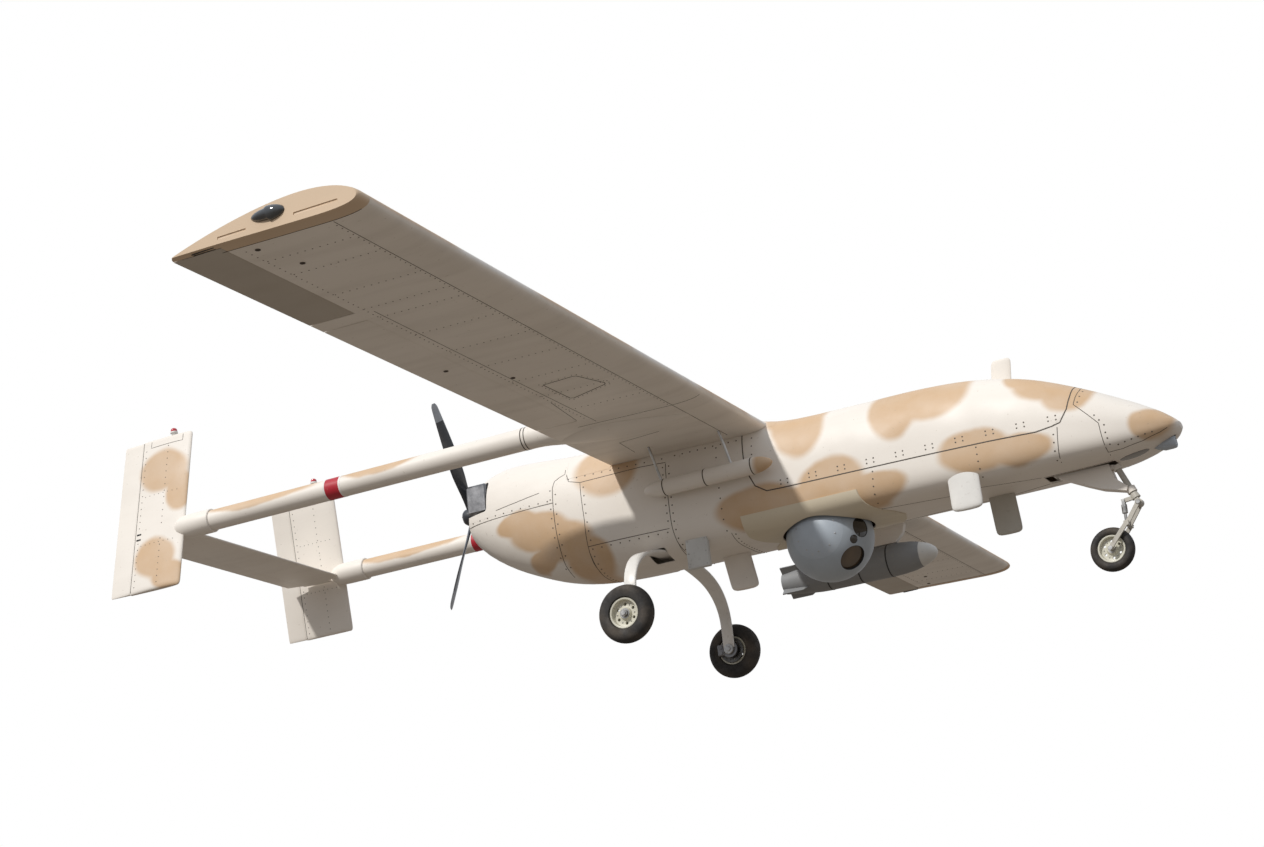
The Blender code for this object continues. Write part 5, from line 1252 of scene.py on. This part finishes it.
def make_main_gear():
    """Leaf spring, axles, brakes and main wheels."""
    def at(t):
        i = min(int(t), len(SPRING) - 2)
        f = t - i
        p = [Vector(SPRING[min(max(k, 0), len(SPRING) - 1)]) for k in (i - 1, i, i + 1, i + 2)]
        if i == 0:
            p[0] = Vector((-SPRING[1][0], SPRING[1][1]))
        return 0.5 * ((2 * p[1]) + (p[2] - p[0]) * f + (2 * p[0] - 5 * p[1] + 4 * p[2] - p[3]) * f * f
                      + (3 * p[1] - p[0] - 3 * p[2] + p[3]) * f ** 3)

    half = [at(k * 0.2) for k in range(0, (len(SPRING) - 1) * 5 + 1)]
    path = [Vector((-p.x, p.y)) for p in half[:0:-1]] + half
    rings = []
    for i, p in enumerate(path):
        direction = (path[min(i + 1, len(path) - 1)] - path[max(i - 1, 0)]).normalized()
        normal = Vector((-direction.y, direction.x))
        wide = along(((0.0, 0.052), (0.3, 0.050), (0.5, 0.042), (0.61, 0.035), (0.63, 0.033)), abs(p.x))
        ring = []
        for dx, dn in ((1, 0.5), (0.93, 0.85), (0.85, 1), (-0.85, 1), (-0.93, 0.85), (-1, 0.5), (-1, -0.5),
                       (-0.93, -0.85), (-0.85, -1), (0.85, -1), (0.93, -0.85), (1, -0.5)):
            q = p + normal * dn * 0.0085
            ring.append((MAIN_X + dx * wide, q.x, q.y))
        rings.append(ring)
    show("gear_leaf_spring", loft(rings), WHITE_PAINT, nodes="gear_spring")

    hub = Vector((MAIN_X, 0.0, MAIN_R))
    steel = [rod(hub + Vector((0, 0.60, 0)), hub + Vector((0, MAIN_Y + 0.045, 0)), 0.014, 32, 0.002),
             rod(hub + Vector((0, 0.606, 0)), hub + Vector((0, 0.646, 0)), 0.030, 40, 0.003)]
    for a in turns(6):
        p = hub + Vector((0.022 * math.cos(a), 0.612, 0.022 * math.sin(a)))
        steel.append(rod(p, p - Vector((0, 0.008, 0)), 0.0045, 6))
    nut = rod(hub + Vector((0, MAIN_Y + 0.028, 0)), hub + Vector((0, MAIN_Y + 0.040, 0)), 0.021, 6, 0.002)
    steel.append(nut)
    show_both("axle", gather(*steel), STEEL, slot="gear_spring")
    flange = rod(hub + Vector((0, 0.622, 0)), hub + Vector((0, 0.640, 0)), 0.048, 48, 0.002)
    caliper = box((MAIN_X - 0.074, 0.618, MAIN_R - 0.030), (MAIN_X - 0.030, 0.660, MAIN_R + 0.034), 0.006,
                  3)
    pistons = [rod((MAIN_X - 0.052, 0.612, MAIN_R + dz), (MAIN_X - 0.052, 0.620, MAIN_R + dz), 0.011, 20)
               for dz in (-0.014, 0.018)]
    show_both("brake_caliper", gather(flange, caliper, *pistons), CAST, slot="gear_spring")
    disc = hoop(0.6515, 0.6565, 0.040, 0.072, (MAIN_X, 0, MAIN_R), (0, 1, 0), 64)
    drill = []
    for a in turns(14):
        p = hub + Vector((0.056 * math.cos(a), 0, 0.056 * math.sin(a)))
        drill.append(rod(p + Vector((0, 0.6, 0)), p + Vector((0, 0.7, 0)), 0.005, 12))
    show_both("brake_disc", cut(disc, *drill), DARK_STEEL, "wheel_{side}", slot="rim_{side}")
    for tag, side in (("right", -1), ("left", 1)):
        make_wheel(tag, (MAIN_X, side * MAIN_Y, MAIN_R), MAIN_R, MAIN_WIDTH, 0.083, 0.0145, "wheel_" + tag)


def make_nose_gear():
    """Repaints the leg, fork and shock absorber, and adds the nose wheel."""
    for node, material, bevel in (("nose_gear_bracket", PLAIN, 0.003), ("nose_leg", LEG_PAINT_AND_ANTENNA_SHADE, 0.002),
                                  ("nose_fork", LEG_PAINT_AND_ANTENNA_SHADE, 0.002), ("shock_cylinder", STEEL, 0.001),
                                  ("shock_rod", STEEL, 0.0006)):
        repaint(node, material, bevel)
    make_wheel("nose", (NOSE_WHEEL_X, 0, NOSE_R), NOSE_R, NOSE_WIDTH, 0.072, 0.0105, "nose_wheel")
    caps = [rod((NOSE_WHEEL_X, side * 0.050, NOSE_R), (NOSE_WHEEL_X, side * 0.058, NOSE_R), 0.013, 6, 0.001)
            for side in (-1, 1)]
    caps += [rod((2.769, side * 0.034, 0.325), (2.769, side * 0.040, 0.325), 0.013, 6, 0.001)
             for side in (-1, 1)]
    show("nose_fork_bolts", gather(*caps), STEEL, "nose_fork", slot="nose_fork")


def make_antennas():
    """Blade antennas on the back and the belly."""
    body = fuselage_body(GAP, 0.2, 2.6)
    shape = []
    for a in turns(36):
        shape.append((0.5 - 0.5 * math.cos(a), math.sin(a)))
    # The front belly antenna takes the darker leg paint as painted shade: it hangs in the shade under the
    # belly.
    blades = (("top_antenna", PLAIN, 2.105, 2.215, 0.0, 1.255, 1.10, 0.008, 0.12),
              ("belly_antenna_side", WHITE_PAINT, 1.865, 2.035, -0.262, 0.42, 0.66, 0.021, 0.0),
              ("belly_antenna_front", LEG_PAINT_AND_ANTENNA_SHADE, 1.965, 2.11, 0.09, 0.335, 0.60, 0.018, -0.06),
              ("belly_antenna_rear", PLAIN, 0.415, 0.58, 0.06, 0.343, 0.60, 0.024, -0.16))
    for name, material, x0, x1, y, tip, root, thick, rake in blades:
        rings = []
        way = math.copysign(1, root - tip)
        length = x1 - x0
        for depth, share in ((0.0, 0.70), (0.004, 0.84), (0.010, 0.93), (0.02, 0.98), (0.04, 1.0),
                             (abs(root - tip), 1.0)):
            z = tip + way * depth
            shift = rake * (z - root)
            rings.append([(x0 + shift + length * (0.5 + (a - 0.5) * share), y + b * thick * share, z)
                          for a, b in shape])
        show(name + "_blade", cut(loft(rings), body.copy()), material, nodes=name)


def make_pods():
    """Slim pod on its hangers, and the store under the port wing."""
    pod_y, pod_z, pod_r = -0.375, 0.888, 0.046
    profile = [(0.19, 0.005), (0.195, 0.013), (0.205, 0.022), (0.22, 0.030), (0.24, 0.037), (0.27, 0.043),
               (0.30, pod_r), (0.86, pod_r), (0.89, 0.041), (0.91, 0.036), (0.93, 0.027), (0.945, 0.018),
               (0.957, 0.005)]
    pod = turned(profile, (0, pod_y, pod_z), (1, 0, 0), 48)
    show("side_pod_body", pod, POD_PAINT, nodes="side_pod")
    wing = prism(wing_outline(grow=GAP), -0.9, 0.0)
    hangers = [cut(rod((top_x, -0.436, 1.13), (low_x, -0.385, 0.90), 0.0075, 20), wing.copy())
               for top_x, low_x in ((0.268, 0.31), (0.689, 0.73))]
    show("side_pod_hangers", gather(*hangers), STEEL, slot="side_pod")
    bands = [hoop(x, x + 0.006, pod_r - 0.001, pod_r + 0.0012, (0, pod_y, pod_z), segments=48)
             for x in (0.315, 0.56, 0.84)]
    # The pod bands take the same dark joint colour, painted shade of the gaps at them.
    show("side_pod_bands", gather(*bands), SEAM_GAP_SHADE, slot="side_pod")

    body = turned([(-0.10, 0.060), (-0.10, 0.066), (-0.095, 0.072), (0.0, 0.086), (0.10, 0.098),
                   (0.15, 0.103), (0.20, STORE_R), (0.66, STORE_R), (0.73, 0.102), (0.80, 0.094),
                   (0.855, 0.080)],
                  (0, STORE_Y, STORE_Z), (1, 0, 0), 56)
    nose = turned([(0.855, 0.080), (0.90, 0.064), (0.925, 0.050), (0.945, 0.034), (0.955, 0.020),
                   (0.96, 0.008)],
                  (0, STORE_Y, STORE_Z), (1, 0, 0), 56)
    fins = []
    for turn in (45, 135):
        plate = prism([(-0.09, 0.125), (-0.09, -0.125), (0.05, -0.125), (0.13, -0.08), (0.13, 0.08),
                       (0.05, 0.125)],
                      -0.004, 0.004, "z")
        fins.append(moved(plate, Matrix.Translation((0, STORE_Y, STORE_Z))
                          @ Matrix.Rotation(math.radians(turn), 4, "X")))
    show("store_body", gather(body, *fins), STORE_PAINT, nodes="store")
    show("store_nose", nose, STORE_TIP, slot="store")
    bands = [hoop(x, x + 0.008, STORE_R - 0.001, STORE_R + 0.0015, (0, STORE_Y, STORE_Z))
             for x in (0.22, 0.44, 0.64)]
    show("store_bands", gather(*bands), BLACK_PLASTIC_AND_SLOT_SHADE, slot="store")
    pylon = prism([(0.43, 1.16), (0.78, 1.16), (0.77, 1.10), (0.755, 1.05),
                   (0.70, STORE_Z + STORE_R + 0.0035),
                   (0.46, STORE_Z + STORE_R + 0.0035)], STORE_Y - 0.02, STORE_Y + 0.02)
    show("pylon_body", cut(pylon, prism(wing_outline(grow=GAP), 2.0, 2.6)), PLAIN, nodes="store_pylon")


def make_inner_pieces():
    """Pieces inside the shell."""
    repaint("payload_deck", PLATE_PAINT)
    repaint("fuel_tank", WHITE_PAINT)
    repaint("flight_computer", YOKE_PAINT, 0.002)
    repaint("battery_pack", BLACK_PLASTIC_AND_SLOT_SHADE, 0.002)


# ---------------------------------------------------------------- floor, light and camera
FLOOR_Z = -4.3
CAMERA_PLACE = (5.17336, -11.30581, -2.53078)
CAMERA_RIGHT = (0.88870098, 0.44543635, -0.10861410)
CAMERA_UP = (0.22907569, -0.22617714, 0.94676725)
CAMERA_BACK = (0.39715852, -0.86627384, -0.30304249)
CAMERA_LENS = 36.0 * 2276.64 / 1264.0
SUN_WAY = (0.37, 1.05, -1.0)


def make_stage():
    """Floor, light, surroundings and camera."""
    floor = bpy.data.objects.new("floor",
                                 prism([(-60, -60), (60, -60), (60, 60), (-60, 60)], FLOOR_Z - 0.05,
                                                FLOOR_Z, "z"))
    bpy.context.scene.collection.objects.link(floor)
    g = Graph("pale_floor")
    tint = g.mix(g.noise(0.8, 4.0), (0.80, 0.79, 0.77), (0.76, 0.75, 0.73))
    floor.data.materials.append(g.done(tint, g.spread(g.noise(3.0), 0.6, 0.75),
                                       g.bump(g.noise(30.0), 0.001, 0.2)))
    floor.visible_diffuse = False
    floor.visible_glossy = False
    floor.visible_shadow = False

    sun = bpy.data.lights.new("key", "SUN")
    sun.energy = 2.75
    sun.angle = math.radians(3.5)
    sun.color = (1.0, 0.98, 0.95)
    lamp = bpy.data.objects.new("key", sun)
    bpy.context.scene.collection.objects.link(lamp)
    lamp.rotation_mode = "QUATERNION"
    lamp.rotation_quaternion = Vector(SUN_WAY).to_track_quat("-Z", "Y")

    world = bpy.data.worlds.new("studio")
    bpy.context.scene.world = world
    world.use_nodes = True
    tree = world.node_tree
    tree.nodes.clear()
    new, link = tree.nodes.new, tree.links.new
    coord, split, ramp = new("ShaderNodeTexCoord"), new("ShaderNodeSeparateXYZ"), new("ShaderNodeValToRGB")
    path, sky, plain = new("ShaderNodeLightPath"), new("ShaderNodeBackground"), new("ShaderNodeBackground")
    mixer, out, span = new("ShaderNodeMixShader"), new("ShaderNodeOutputWorld"), new("ShaderNodeMapRange")
    span.inputs["From Min"].default_value = -1.0
    link(coord.outputs["Generated"], split.inputs[0])
    link(split.outputs["Z"], span.inputs["Value"])
    link(span.outputs[0], ramp.inputs["Fac"])
    ramp.color_ramp.elements[0].color = (0.24, 0.21, 0.18, 1)
    ramp.color_ramp.elements[0].position = 0.35
    ramp.color_ramp.elements[1].color = (0.62, 0.66, 0.72, 1)
    ramp.color_ramp.elements[1].position = 0.75
    link(ramp.outputs[0], sky.inputs["Color"])
    plain.inputs["Color"].default_value = (1, 1, 1, 1)
    link(path.outputs["Is Camera Ray"], mixer.inputs["Fac"])
    link(sky.outputs[0], mixer.inputs[1])
    link(plain.outputs[0], mixer.inputs[2])
    link(mixer.outputs[0], out.inputs["Surface"])

    camera = bpy.data.objects.new("camera", bpy.data.cameras.new("camera"))
    bpy.context.scene.collection.objects.link(camera)
    camera.data.sensor_width = 36.0
    camera.data.lens = CAMERA_LENS
    camera.data.clip_end = 300.0
    turn = Matrix((CAMERA_RIGHT, CAMERA_UP, CAMERA_BACK)).transposed().to_4x4()
    camera.matrix_world = Matrix.Translation(CAMERA_PLACE) @ turn
    bpy.context.scene.camera = camera
    bpy.context.scene.view_settings.view_transform = "Standard"


make_stage()
make_fuselage()
make_fuselage_details()
make_turret()
make_wing()
make_booms()
make_tail()
make_power()
make_main_gear()
make_nose_gear()
make_antennas()
make_pods()
make_inner_pieces()
